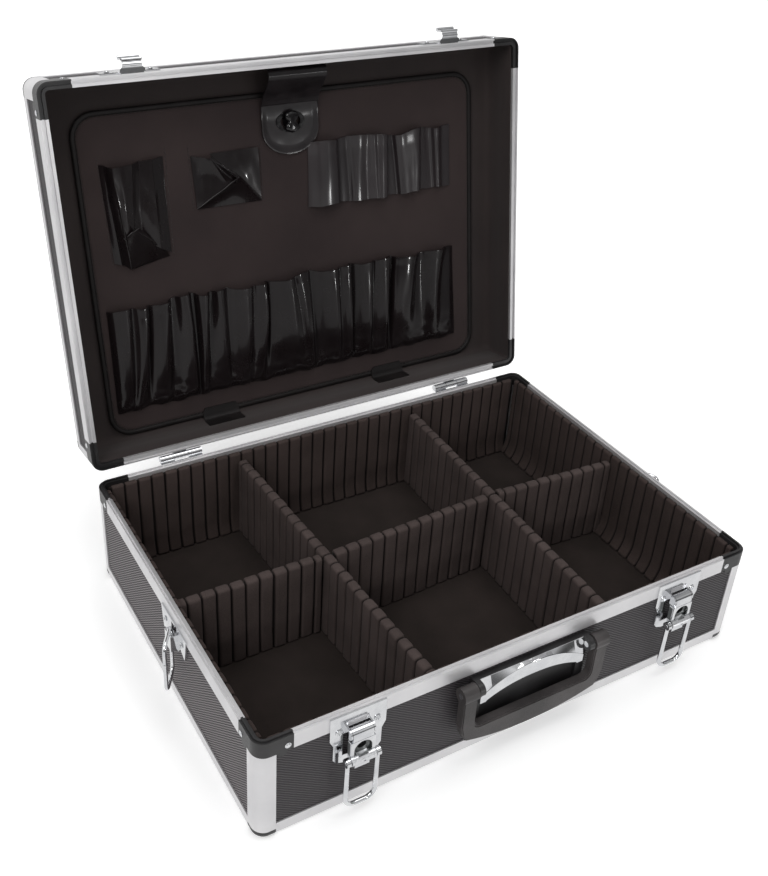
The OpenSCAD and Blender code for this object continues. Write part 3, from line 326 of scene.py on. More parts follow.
M_BLACK = make_moulded("moulded_black", srgb(34, 33, 34), srgb(26, 25, 26), srgb(44, 43, 44), 40,
                       ("noise", 900, 3, 0.6), (0.3, 0.7, 0.3, 0.46), (0.0001, 0.4), rough=0.38)
M_BINDING = make_moulded("bound_edge", srgb(18, 15, 15), srgb(14, 11, 11), srgb(24, 20, 20), 50,
                         ("voronoi", 1500), (0.1, 0.6, 0.42, 0.6), (0.00012, 0.35), rough=0.6, spec=0.22)
M_BUTTON = make_moulded("glossy_button", srgb(13, 12, 13), srgb(10, 9, 10), srgb(20, 18, 20), 60,
                        ("noise", 220, 4, 0.6), (0.35, 0.75, 0.1, 0.22), (0.0001, 0.15), rough=0.16)
M_GRIP = make_moulded("moulded_grip", srgb(64, 61, 61), srgb(54, 51, 51), srgb(74, 70, 70), 30,
                      ("voronoi", 950), (0.1, 0.6, 0.3, 0.46), (0.00015, 0.45), rough=0.4, spec=0.4)

BY_SLOT = {
    "case_board": M_BOARD_FB,
    "extrusion": M_EXTR,
    "black_plastic": M_BLACK,
    "chrome": M_CHROME,
    "padding": M_PAD,
    "lid_cloth": M_CLOTH,
    "vinyl": M_VINYL,
    "grip": M_GRIP,
}
OWN_MATERIAL = {
    **dict.fromkeys(("left_panel", "right_panel"), M_BOARD_SIDES_LIT),
    "bottom_panel": M_BOARD_TB,
    "lid_wall_panels": M_BOARD_LID,
    **dict.fromkeys(("strap_eyelet", "button_base", "turn_button"), M_BUTTON),
    **dict.fromkeys(("latch_lever_left", "latch_lever_right"), M_LEVER),
}
SLOT_OF = {s["node"]: s["material_slot"] for s in frame["record"]["subparts"]}


for node, o in frame["nodes"].items():
    own = OWN_MATERIAL.get(node, BY_SLOT[SLOT_OF[node]])
    for material_slot in o.material_slots:
        material_slot.material = own
    if not o.material_slots:
        o.data.materials.append(own)


# ---------------- mesh helpers
def place(name, data):
    o = bpy.data.objects.new(name, data)
    bpy.context.scene.collection.objects.link(o)
    return o


def mesh_object(name, verts, faces, mat, body, node=None, *, sharp=None, depth=None):
    """One visible piece that rides on body and may stand for a CAD node.

    sharp is the angle from which edges stay sharp, and depth holds each point's "groove" value, the painted
    shade that the padding gets between its ribs.
    """
    me = bpy.data.meshes.new(name)
    me.from_pydata([tuple(v) for v in verts], [], faces)
    # each point's painted shade between ribs, kept on the mesh for the padding's material
    if depth:
        me.attributes.new("groove", "FLOAT", "POINT").data.foreach_set("value", depth)
    bm = bmesh.new()
    bm.from_mesh(me)
    bmesh.ops.remove_doubles(bm, verts=bm.verts, dist=WELD)
    bmesh.ops.recalc_face_normals(bm, faces=bm.faces)
    bm.to_mesh(me)
    bm.free()
    me.polygons.foreach_set("use_smooth", [True] * len(me.polygons))
    if sharp:
        me.set_sharp_from_angle(angle=math.radians(sharp))
    me.materials.append(mat)
    o = place(name, me)
    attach(o, body)
    if node:
        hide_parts(node)
    return o


def loft(rings):
    """Vertices and faces of closed rings of equal length, joined in turn and capped at both ends."""
    n = len(rings[0])
    faces = []
    for i in range(len(rings) - 1):
        for j in range(n):
            a, b = i * n + j, i * n + (j + 1) % n
            faces.append((a, b, b + n, a + n))
    faces.append(tuple(range(n - 1, -1, -1)))
    faces.append(tuple(range((len(rings) - 1) * n, len(rings) * n)))
    return [p for r in rings for p in r], faces


def add_loft(verts, faces, rings):
    v, f = loft(rings)
    faces += [tuple(i + len(verts) for i in q) for q in f]
    verts += v


def closed_sweep(rings):
    """Rings joined one after another and the last to the first, as a profile run round a loop."""
    n, m = len(rings[0]), len(rings)
    faces = [(i * n + j, i * n + (j + 1) % n, (i + 1) % m * n + (j + 1) % n, (i + 1) % m * n + j)
             for i in range(m) for j in range(n)]
    return [p for r in rings for p in r], faces


def grid_faces(nu, nv, start=0):
    faces = []
    for i in range(nu - 1):
        for j in range(nv - 1):
            a = start + i * nv + j
            faces.append((a, a + 1, a + nv + 1, a + nv))
    return faces


def shell_faces(nu, nv, start=0):
    """Faces round two grids of points that lie one behind the other, with the strip along their edge."""
    m = nu * nv
    faces = grid_faces(nu, nv, start)
    faces += [tuple(k + m for k in reversed(f)) for f in faces]
    edge = [i * nv for i in range(nu)] + [(nu - 1) * nv + j for j in range(1, nv)]
    edge += [i * nv + nv - 1 for i in range(nu - 2, -1, -1)] + list(range(nv - 2, 0, -1))
    faces += [(start + a, start + b, start + b + m, start + a + m) for a, b in zip(edge, edge[1:] + edge[:1])]
    return faces


def add_shell(verts, faces, grid, thick):
    """Add a closed thin shell round a grid of points. thick is one number or one for each row."""
    nu, nv = len(grid), len(grid[0])
    faces += shell_faces(nu, nv, len(verts))
    front, back = [], []
    for i in range(nu):
        t = (thick[i] if isinstance(thick, list) else thick) / 2
        for j in range(nv):
            du = grid[min(nu - 1, i + 1)][j] - grid[max(0, i - 1)][j]
            dv = grid[i][min(nv - 1, j + 1)] - grid[i][max(0, j - 1)]
            n = du.cross(dv)
            n = n.normalized() if n.length > 1e-15 else UP
            front.append(grid[i][j] + n * t)
            back.append(grid[i][j] - n * t)
    verts += front + back


def thicken(verts, faces, thick):
    """The closed shell round an open surface whose shared points may be repeated."""
    keys, where, pts = {}, [], []
    for p in verts:
        k = tuple(round(c * 1e6) for c in p)
        if k not in keys:
            keys[k] = len(pts)
            pts.append(Vector(p))
        where.append(keys[k])
    faces = [tuple(where[i] for i in f) for f in faces]
    normal = [Vector((0, 0, 0)) for _ in pts]
    edges = {}
    for f in faces:
        n = (pts[f[1]] - pts[f[0]]).cross(pts[f[2]] - pts[f[0]])
        for k, i in enumerate(f):
            normal[i] += n
            edges[(i, f[(k + 1) % len(f)])] = True
    m = len(pts)
    out = [p + n.normalized() * thick / 2 for p, n in zip(pts, normal)]
    out += [p - n.normalized() * thick / 2 for p, n in zip(pts, normal)]
    shell = list(faces) + [tuple(i + m for i in reversed(f)) for f in faces]
    shell += [(b, a, a + m, b + m) for a, b in edges if (b, a) not in edges]
    return out, shell


def smooth(t):
    t = max(0.0, min(1.0, t))
    return t * t * (3 - 2 * t)


def lerp(a, b, t):
    return a + (b - a) * t


def wave(x, y, seed):
    return noise.noise(Vector((x, y, seed)))


def ridged(x, y, seed):
    return 1 - 2 * abs(wave(x, y, seed))


def lid_pt(x, y, h):
    """A point given on the shut lid, in mm; h is its height off the pallet's face."""
    return LID @ Vector((x * MM, y * MM, BOARD_Z - h * MM))


def rounded(x0, x1, y0, y1, r, per=9):
    """Points round a rectangle with rounded corners, per points to a corner."""
    pts = []
    corners = ((x1 - r, y1 - r, 0), (x0 + r, y1 - r, 90), (x0 + r, y0 + r, 180), (x1 - r, y0 + r, 270))
    for cx, cy, a0 in corners:
        for k in range(per):
            g = math.radians(a0 + 90 * k / (per - 1))
            pts.append((cx + r * math.cos(g), cy + r * math.sin(g)))
    return pts


def lid_ring(centre, side, r, flat, half):
    """A ring of 2 * half points round a centre over the pallet, flattened against it by flat."""
    return [lid_pt(*(centre + side * (r * math.cos(g)) + UP * (flat * r * math.sin(g))))
            for g in (math.pi * k / half for k in range(2 * half))]


def stitches(name, path, pitch=3.0, long=2.1, r=0.28):
    """Short thread bumps along a path of (x, y, h) points on the pallet."""
    swell = ((0.0, 0.25), (0.18, 0.9), (0.5, 1.0), (0.82, 0.9), (1.0, 0.25))
    pts = [Vector(p) for p in path]
    verts, faces, carry = [], [], 0.0
    for a, b in zip(pts, pts[1:]):
        run = (b - a).length
        d = (b - a) / run
        side = d.cross(UP).normalized()
        while carry + long <= run:
            rings = [lid_ring(a + d * (carry + long * f), side, r * k, 1.0, 3) for f, k in swell]
            add_loft(verts, faces, rings)
            carry += pitch
        carry -= run
    mesh_object(name, verts, faces, M_THREAD, "lid")


# ---------------- padded dividers
PITCH = 0.0124
RIB_GAP, LEAST_RIB, RIB_POINTS = 0.0011, 0.0025, 10
DIV_T, DIV_Z, DIV_DROP = 0.009, 0.0069, 0.009
DIV_H = TRAY_H - DIV_DROP - DIV_Z


def rib_stations(a, b, first):
    """Stations along a ribbed pad: (place, 0 in a groove to 1 on a rib crown, rib number)."""
    out = []
    n = int((b - a) / PITCH) + 3
    for i in range(-n, n):
        p = max(i * PITCH + first + RIB_GAP / 2, a)
        q = min((i + 1) * PITCH + first - RIB_GAP / 2, b)
        if q - p < LEAST_RIB:
            continue
        for k in range(RIB_POINTS):
            t = k / (RIB_POINTS - 1)
            x = p + (q - p) * (0.35 * t + 0.65 * (0.5 - 0.5 * math.cos(math.pi * t)))
            crown = max(0.0, 1 - abs(2 * (x - p) / (q - p) - 1) ** 10.0) ** 0.5
            out.append((x, crown, i))
    return out


def groove_shade(stations, ring):
    """For every point of a pad's rings, its painted shade: how deep it lies in a groove, 0 on a crown and 1
    at the bottom.
    """
    return [1 - crown for _, crown, _ in stations for _ in ring]


def divider(node, matrix, half, first, seed):
    """Padded divider of the length 2 * half; every rib's width, height, lean and bend vary a little."""
    rnd = random.Random(seed)
    jit = {}  # every station draws, and a rib keeps its first draws
    rings = []
    core, roll = 0.0014, 0.0028
    stations = rib_stations(-half, half, first)
    for x, crown, i in stations:
        w, h, lean, bend = jit.setdefault(i, (rnd.uniform(0.95, 1.0), rnd.uniform(-0.0009, 0.0),
                                              rnd.uniform(-0.0003, 0.0003), rnd.uniform(-0.0004, 0.0004)))
        t = core + (DIV_T / 2 - core) * crown * w
        top = DIV_H - 0.0024 * (1 - crown) + h * 0.7 - 0.0002
        r = min(t, roll) * 0.98
        flat = t - r
        ring = []
        zs = [0.0004, 0.0014, 0.012, 0.03, 0.05, 0.066, top - r]
        for z in zs:
            ring.append((x + bend * math.sin(z * 38), -t * (1 - 0.04 * math.sin(z * 60 + i)) + lean, z))
        for k in range(1, 6):
            g = math.pi * k / 6
            y = -math.cos(g)
            shift = flat if y > 0.01 else -flat if y < -0.01 else 0
            ring.append((x, (y * r + shift) + lean, top - r + r * math.sin(g)))
        for z in reversed(zs):
            ring.append((x + bend * math.sin(z * 38), t * (1 - 0.04 * math.sin(z * 55 + 2 * i)) + lean, z))
        rings.append([matrix @ Vector(p) for p in ring])
    v, f = loft(rings)
    depth = groove_shade(stations, rings[0])
    o = mesh_object(f"padded_{node}", v, f, M_PAD, node, node, depth=depth)


# the room between the ribs of the wall lining: rim, play, lining and rib come off each side
RIM_W, FIT, LINING_T, RIB_T = 0.005, 0.00005, 0.0019, 0.0026
INNER_X = HW - RIM_W - FIT - LINING_T - RIB_T
INNER_Y = HD - RIM_W - FIT - LINING_T - RIB_T
# the long dividers stand in grooves 6.5 pitches off the middle in front and 7.5 at the back
LONG_F, LONG_B = 6.5 * PITCH, 7.5 * PITCH
LONG_X = (LONG_F + LONG_B) / 2
LONG_TURN = math.atan2(LONG_B - LONG_F, 2 * INNER_Y)
# gap between soft pieces, and what the pads stay back beyond it
SOFT = 0.0004
LONG_END, CROSS_END, CROSS_SIDE = 0.0006, 0.0003, 0.0009
CROSS_SHIFT = 0.008


def upright(x, y, turn):
    return Matrix.Translation((x, y, DIV_Z)) @ Matrix.Rotation(turn, 4, "Z")


def cross(node, x0, y0, x1, y1, seed):
    half = math.hypot(x1 - x0, y1 - y0) / 2
    divider(node, upright((x0 + x1) / 2, (y0 + y1) / 2, math.atan2(y1 - y0, x1 - x0)), half, PITCH / 2, seed)


reach = (INNER_Y - SOFT - LONG_END) / math.cos(LONG_TURN) - DIV_T / 2 * math.sin(LONG_TURN)
for side, sx, first in (("left", -1, 0.0), ("right", 1, CROSS_SHIFT)):
    standing = upright(sx * LONG_X, 0, math.pi / 2 - sx * LONG_TURN)
    divider(f"long_divider_{side}", standing, reach, first, 11 + sx)
WALL_END = INNER_X - SOFT - CROSS_END
BESIDE = DIV_T / 2 + SOFT + CROSS_SIDE
cross("cross_divider_left", -WALL_END, 0, -LONG_X - BESIDE, 0, 21)
cross("cross_divider_middle", -LONG_X + BESIDE, 0, LONG_X - BESIDE, CROSS_SHIFT, 22)
cross("cross_divider_right", LONG_X + BESIDE, CROSS_SHIFT, WALL_END, 0, 23)


# ---------------- ribbed lining of the tray walls and its floor
def wall_pad(name, turn, half, across, end, first, flare, seed, node=None):
    """Ribbed pad on one wall, all but first in mm.

    half is the wall's own distance from the middle, across that of the walls at its ends, end the pad's half
    length, and flare how far its foot runs out over the floor.
    """
    rnd = random.Random(seed)
    jit = {}
    rings = []
    base, out, out_top, foot, rise = 6.95, 4.35, 5.15, 6.7, 94.4
    corner_in, corner_r, corner_end = 10, 4.9, 4.8
    stations = rib_stations(-end * MM, end * MM, first)
    stations = [(-(end + 2.4) * MM, 0.0, -99), *stations, ((end + 2.4) * MM, 0.0, 99)]
    to_wall = Matrix.Rotation(turn, 4, "Z")
    for x, crown, i in stations:
        w, lift, bend = jit.setdefault(i, (rnd.uniform(0.93, 1.0), rnd.uniform(-0.7, 0.0),
                                           rnd.uniform(-0.35, 0.35)))
        # near the corners the pad keeps inside the rounded rim
        over = abs(x / MM) - (across - corner_in)
        top_out = out_top
        if over > 0:
            arc = math.sqrt(max(0.0, corner_r ** 2 - min(over, corner_end) ** 2))
            top_out = max(out_top, corner_in - arc)
        top = rise - 1.1 * (1 - crown) + 0.7 * lift * crown
        face = base + 0.15 + 2.4 * crown * w
        prof = [(out, foot), (out, 50.0), (out, 87.5), (top_out, 87.9), (top_out, top - 0.8),
                (top_out + 0.5, top)]
        r = min(2.2, face - top_out - 0.6)
        for k in range(1, 5):
            g = math.pi / 2 * k / 4
            prof.append((face - r + r * math.sin(g), top - r + r * math.cos(g)))
        for z in (74, 58, 42, 30, 23, 17, 12, 8.6, foot):
            cove = flare * max(0.0, (25 - z) / 18.4) ** 2
            prof.append((face + cove + 0.12 * math.sin(z * 0.11 + i), z))
        rings.append([to_wall @ Vector((x + bend * MM * math.sin(z * 0.04), (half - d) * MM, z * MM))
                      for d, z in prof])
    v, f = loft(rings)
    depth = groove_shade(stations, rings[0])
    o = mesh_object(name, v, f, M_PAD_WALL, "tray", node, depth=depth)


long_wall, short_wall = (WALL_Y_MM, WALL_X_MM, 217.0), (WALL_X_MM, WALL_Y_MM, 154.6)
wall_pad("wall_pad_back", 0, *long_wall, PITCH / 2, 3.0, 31, "wall_lining")
wall_pad("wall_pad_front", math.pi, *long_wall, PITCH / 2, 3.0, 32)
wall_pad("wall_pad_left", math.pi / 2, *short_wall, 0.0, 4.0, 33)
wall_pad("wall_pad_right", -math.pi / 2, *short_wall, 0.0, 6.5, 34)


def floor_pad():
    nx, ny = 92, 68
    half_x, half_y, top, under = 222.9, 160.4, 6.1, 0.00412
    verts = []
    for i in range(nx):
        for j in range(ny):
            x, y = lerp(-half_x, half_x, i / (nx - 1)), lerp(-half_y, half_y, j / (ny - 1))
            z = top + 0.28 * wave(x * 0.02, y * 0.02, 3.3) + 0.12 * wave(x * 0.09, y * 0.09, 5.1)
            verts.append(Vector((x, y, z)) * MM)
    verts += [Vector((p.x, p.y, under)) for p in verts]
    faces = shell_faces(nx, ny)
    o = mesh_object("floor_pad", verts, faces, M_PAD_FLOOR, "tray", "floor_lining", sharp=60)


floor_pad()


# ---------------- lining of the lid
def lid_lining():
    """One cloth-covered shell: up the lid's walls, round a soft corner and over the bed behind the pallet.

    A profile point is its distance in from the wall, its depth in the lid and its corners' radius, mm.
    """
    back = [(40, 43.4, 3.0), (4.3, 43.3, 5.0), (4.3, 9.4, 5.0), (5.3, 9.0, 4.7), (5.3, 3.2, 4.7)]
    face = [(6.5, 3.2, 3.4), (6.9, 3.9, 3.2), (7.0, 20.0, 3.2), (7.3, 31.0, 4.0), (8.4, 35.6, 6.0),
            (10.8, 38.2, 9.0), (14.5, 39.15, 12.0), (24, 39.35, 16.0), (60, 39.4, 20.0)]
    rings = []
    for q, (o, d, r) in enumerate(back + face):
        loop = rounded(-WALL_X_MM + o, WALL_X_MM - o, -WALL_Y_MM + o, WALL_Y_MM - o, r, 7)
        soft = q > len(back) + 1
        ring = []
        for (ax, ay), (bx, by) in zip(loop, loop[1:] + loop[:1]):
            # the long straight runs get points of their own so that the cloth can pucker a little
            steps = 30 if math.hypot(bx - ax, by - ay) > 120 else 1
            for k in range(steps):
                x, y = lerp(ax, bx, k / steps), lerp(ay, by, k / steps)
                puff = 0.35 * wave(x * 0.035, y * 0.035, 7.0 + d * 0.05) if soft else 0.0
                ring.append(lid_pt(x, y, BOARD_UP_MM - d + puff))
        rings.append(ring)
    v, f = loft(rings)
    o = mesh_object("lid_lining_cloth", v, f, M_CLOTH, "lid", "lid_lining", sharp=70)


lid_lining()

# ---------------- pallet board, its bound edge and stitching
BX, BY0, BY1, BR = 198.0, -135.0, 155.0, 22.0


def board_outline(inset, per=9):
    """The pallet's rounded outline, drawn in by inset mm."""
    return rounded(-BX + inset, BX - inset, BY0 + inset, BY1 - inset, BR - inset, per)


def pallet():
    profile = ((3.2, -2.05), (2.6, -1.6), (2.6, -1.0), (4.6, -1.0), (5.3, 0.0), (6.2, 0.45), (8.4, 0.2),
               (12.0, 0.1))
    v, f = loft([[lid_pt(x, y, h) for x, y in board_outline(inset)] for inset, h in profile])
    o = mesh_object("pallet_cloth_board", v, f, M_BOARD_CLOTH, "lid", "pallet_board",
                    sharp=60)
    rings = []
    for k in range(10):
        g = 2 * math.pi * k / 10
        c, s = math.cos(g), math.sin(g)
        inset = 2.35 - 2.3 * math.copysign(abs(c) ** 0.8, c)
        h = -0.4 + 1.75 * math.copysign(abs(s) ** 0.8, s)
        rings.append([lid_pt(x, y, h) for x, y in board_outline(inset, 12)])
    v, f = closed_sweep(rings)
    mesh_object("pallet_bound_edge", v, f, M_BINDING, "lid", "pallet_binding")
    loop = [(x, y, -0.35) for x, y in board_outline(4.9, 14)]
    stitches("pallet_edge_stitches", loop + loop[:1], pitch=3.6, long=2.4, r=0.4)


pallet()


# ---------------- vinyl pockets and loops
def softened(cols):
    """Points along a line of columns, softened at its corners."""
    pts, per = [], 4
    for (a, u), (b, v) in zip(cols, cols[1:]):
        pts += [(lerp(a, b, k / per), lerp(u, v, k / per)) for k in range(per)]
    pts.append(cols[-1])
    for _ in range(2):
        inner = [tuple((p[q] + 2 * c[q] + n[q]) / 4 for q in (0, 1))
                 for p, c, n in zip(pts, pts[1:], pts[2:])]
        pts = [pts[0], *inner, pts[-1]]
    return pts


def through_three(a, b, c, v):
    """The value at v of the curve that is a at 0, b at a half and c at 1."""
    return a * (1 - v) * (1 - 2 * v) + 4 * b * v * (1 - v) + c * v * (2 * v - 1)


def pleats(name, node, mat, lines, y0, y1, closed, seed, rows, step):
    """One strip of vinyl in pleats, from its mouth at y0 to its foot at y1, mm.

    A line is x at the mouth, half way and foot, then the height at each. A closed strip is crumpled and
    pressed flat at its foot, and step says how uneven the mouth is.
    """
    grid = []
    for i in range(rows):
        v = i / (rows - 1)
        row = []
        for x, h in softened([(through_three(*a[:3], v), through_three(*a[3:], v)) for a in lines]):
            y = lerp(y0 + step * wave(x * 0.045, 0.5, seed), y1 + 2.4 * wave(x * 0.08, 3.1, seed), v)
            inner = smooth((h - 1.0) / 4)
            fold = 0.35 * ridged(x * 0.12, y * 0.012, seed + 2.5)
            h += inner * (0.7 * wave(x * 0.05, y * 0.022, seed) + fold)
            if closed:
                low = smooth((v - 0.72) / 0.2)
                crumple = 1.5 * ridged(x * 0.1, y * 0.13, seed + 9.1)
                h += inner * low * (crumple + 0.7 * wave(x * 0.2, y * 0.12, seed + 4))
                h *= lerp(1.0, 0.66, smooth((v - 0.6) / 0.4)) * lerp(0.15, 1.0, 1 - smooth((v - 0.95) / 0.05))
            row.append(lid_pt(x, y, 0.45 + max(0.05, h)))
        grid.append(row)
    verts, faces = [], []
    add_shell(verts, faces, grid, [1.2 * MM] * 2 + [0.6 * MM] * (rows - 2))
    o = mesh_object(name, verts, faces, mat, "lid", node, sharp=80)


pleats("lower_pocket_row", "lower_pockets", M_VINYL, [
    (-187, -188, -189, .4, .4, .4), (-184, -185, -186, 6.5, 7, 5), (-170, -173, -178, 9.5, 10, 7),
    (-166, -169, -175, 3, 4, 5), (-161, -164, -172, 9, 10.5, 8.5), (-153.5, -157, -165, 9.5, 10, 4),
    (-151, -155, -159, .6, 1, 2), (-147, -151.5, -156, 4.5, 5.5, 5), (-140, -143.5, -146, 8.5, 9.5, 8),
    (-133, -137, -141, 9.5, 9, 6), (-130.5, -133, -136, .6, 2, 4), (-124, -126, -129, .8, 3, 5),
    (-121, -121, -126, 8.5, 7, 8), (-114, -113.5, -113.5, 9.5, 10.5, 8), (-111.5, -110.5, -111, .6, .6, .6),
    (-106, -106.5, -108.5, .6, .6, .6), (-104.5, -105, -107.5, 9, 9, 6), (-96, -100, -104, 9.5, 9.5, 6),
    (-93.5, -97, -100, 1, 2, 3), (-88.5, -93, -96, 1, 3, 5), (-86.5, -84, -83, 9.5, 9.5, 8),
    (-82, -81, -79.5, 8.5, 8, 4), (-75, -77, -78, 2.5, 3.5, 4), (-70, -70.5, -72, 8.5, 8, 7),
    (-54, -59, -63, 9.5, 10, 8), (-49.5, -53, -58, 3.5, 5, 5), (-46, -49, -56, 8.5, 8.5, 8),
    (-38.5, -40.5, -52, 10, 11, 6), (-36, -38, -43, .6, 1, 3), (-33, -36, -39, 5.5, 6, 6),
    (-20, -20, -20, 9, 9, 8), (-12, -10, -10, 10, 11, 10), (-8.5, -3, -2, 6.5, 8, 9),
    (-5, 1, 2, 9.5, 10.5, 7), (6, 8, 9, 8, 8.5, 5), (9.5, 11, 12, .6, .8, 1), (14, 15.5, 16, 2.5, 4, 4),
    (21, 21, 21, 8.5, 7.5, 6), (37, 36, 35, 10, 11.5, 8), (40, 40, 41, 4.5, 5.5, 4),
    (43.5, 44, 46, 8.5, 9.5, 8), (51.5, 51, 51, 9.5, 10, 6), (53.5, 53, 53, .6, .8, 1),
    (57, 56, 56, 2.5, 3.5, 5), (64, 63, 62, 9, 8.5, 8), (75, 72, 69, 9.5, 10, 10), (78, 75, 74, 4.5, 5, 4),
    (81, 79, 78, 9.5, 9.5, 9), (95, 91, 87, 11, 11.5, 8), (97.5, 94.5, 94, .5, .5, .8),
    (102, 97.5, 97, .5, .5, .8), (104, 99.5, 99, 7.5, 8, 6), (117, 109, 106, 9.5, 10, 8),
    (126, 117, 112, 9.5, 9.5, 6), (130, 125, 126, 2.5, 3, 5), (136, 136, 136, 1, 2.5, 4),
    (139.5, 140, 140, 5.5, 6.5, 6), (147, 143, 142, 9.5, 9.5, 9), (158, 149, 146, 9.5, 10, 9),
    (161, 155, 158, 3.5, 4, 8), (170, 168, 170, 1.5, 3, 5), (173, 174, 175, .4, .4, .4),
], 33.5, 131, True, 41.3, 32, 5.0)
pleats("upper_loop_row", "upper_loops", M_LOOPS, [
    (17, 16, 14, .4, .4, .4), (20, 19, 18, 2.5, 2.5, 2.5), (25, 24, 22.5, 7, 7.5, 7),
    (34, 33, 33, 8.5, 9, 8.5), (43, 43, 44, 7, 7.5, 7), (46.5, 47, 46.5, 1.6, 1.6, 1.4),
    (52, 53, 54, 1.2, 1.5, 1.5), (57.5, 58.5, 59.5, .5, .5, .5), (60, 61, 61, 4, 4, 4),
    (70, 69, 69, 5.5, 5, 4.5), (78, 77.5, 77, 4, 3.5, 3.5), (82, 83, 84, 7.5, 7.5, 7),
    (86, 87, 86.5, 6.5, 6, 7), (91, 91, 91, 8, 8, 8), (97.5, 97, 96, 7.5, 7.5, 7),
    (99.5, 99, 98, 1.4, 1.4, 1.4), (104, 106, 108, .8, 1, .8), (106.5, 109, 111, .5, .5, .5),
    (108.5, 110.5, 112, 6.5, 6.5, 6.5), (120, 121, 122, 7.3, 7.3, 7.3), (133, 132.5, 131.5, 7.8, 7.8, 7.6),
    (136, 135.5, 134.5, 3, 3, 3), (140, 139, 138, 2, 2.5, 2.5), (144, 144.5, 145, .6, 1, 1.5),
    (149.5, 150.5, 151.5, .5, .6, .6), (151.5, 152.5, 153.5, 7, 6.5, 6), (156, 156.5, 157.5, 6, 5.5, 5),
    (160, 160, 160, 1.6, 1.6, 1.6), (168, 168.5, 169, .8, .8, .8), (171, 171, 171, .4, .4, .4),
], -86, -27.5, False, 57.7, 14, 4.0)


def patch(corners, bulge, seed, rough):
    """A grid between four corners (x, y, h), puffed by bulge in its middle."""
    a, b, c, d = (Vector(q) for q in corners)
    grid, n = [], 16
    for i in range(n):
        s = i / (n - 1)
        row = []
        for j in range(n):
            t = j / (n - 1)
            p = (a * (1 - t) + b * t) * (1 - s) + (d * (1 - t) + c * t) * s
            edge = math.sin(math.pi * s) * math.sin(math.pi * t)
            p.z += bulge * edge + rough * edge ** 0.3 * wave(p.x * 0.16, p.y * 0.05, seed)
            row.append(lid_pt(*p))
        grid.append(row)
    return grid


def folded(name, node, patches, rolls):
    """A folded pocket: patches of (corners, bulge, seed, rough); rolls of (end, end, r) along its folds."""
    verts, faces = [], []
    for p, q, r in rolls:
        a, b = Vector(p), Vector(q)
        side = (b - a).cross(UP).normalized()
        rings = []
        for k in range(13):
            t = k / 12
            c = a.lerp(b, t) + UP * (0.3 * math.sin(math.pi * t)) + side * (0.5 * wave(t * 4, r, 8.8))
            rings.append(lid_ring(c, side, r * (0.35 + 0.65 * min(1.0, 6 * t, 6 * (1 - t))), 0.8, 4))
        add_loft(verts, faces, rings)
    for how in patches:
        add_shell(verts, faces, patch(*how), 0.6 * MM)
    o = mesh_object(name, verts, faces, M_VINYL, "lid", node, sharp=60)


folded("tall_pocket", "pocket_tall", [
    # gusset on the left: out from its stitch line, back in and out again to the front panel
    (((-177.4, -91, 0.5), (-174.8, -91, 3.6), (-169.0, -4.5, 3.4), (-174.4, -6, 0.5)), 0.3, 1.2, 0.4),
    (((-174.8, -91, 3.6), (-171.0, -88.6, 0.8), (-165.4, -3.0, 0.8), (-169.0, -4.5, 3.4)), -0.2, 2.2, 0.3),
    (((-171.0, -88.6, 0.8), (-168.8, -88.4, 10.4), (-162.0, 0.2, 5.4), (-165.4, -3.0, 0.8)), 0.0, 3.2, 0.3),
    # front panel in three waves
    (((-168.8, -88.4, 10.4), (-151.0, -88.8, 6.6), (-154.5, -26, 4.4), (-162.4, -16.0, 8.0)), 1.4, 4.1, 0.9),
    (((-151.0, -88.8, 6.6), (-143.5, -90.0, 1.6), (-147.5, -24, 2.4), (-154.5, -26, 4.4)), -0.5, 4.4, 0.5),
    (((-143.5, -90.0, 1.6), (-133.0, -90.6, 6.0), (-133.5, -14, 6.4), (-147.5, -24, 2.4)), 0.8, 4.6, 0.8),
    (((-133.0, -90.6, 6.0), (-121.6, -91.5, 0.6), (-122.6, -8, 0.6), (-133.5, -14, 6.4)), -0.8, 5.1, 0.8),
    # bottom folded up over the front panel
    (((-163.2, -30.2, 9.4), (-152.0, -35.8, 11.2), (-127.0, -8.6, 1.6), (-161.6, 0.4, 3.2)), 0.6, 6.3, 0.5),
    (((-163.2, -30.2, 9.4), (-157, -29, 7), (-149.5, -31, 7.4), (-152.0, -35.8, 11.2)), -0.4, 6.9, 0.2),
    (((-161.6, 0.4, 3.2), (-127.0, -8.6, 1.6), (-124.0, -5.0, 0.6), (-160.0, 1.6, 0.6)), -0.3, 7.3, 0.2),
], [((-168.8, -88.4, 10.4), (-161.8, 0.0, 5.6), 0.75), ((-163.2, -30.2, 9.6), (-152.0, -35.8, 11.4), 0.9),
    ((-153.5, -33.0, 10.6), (-127.5, -9.6, 2.2), 0.8)])
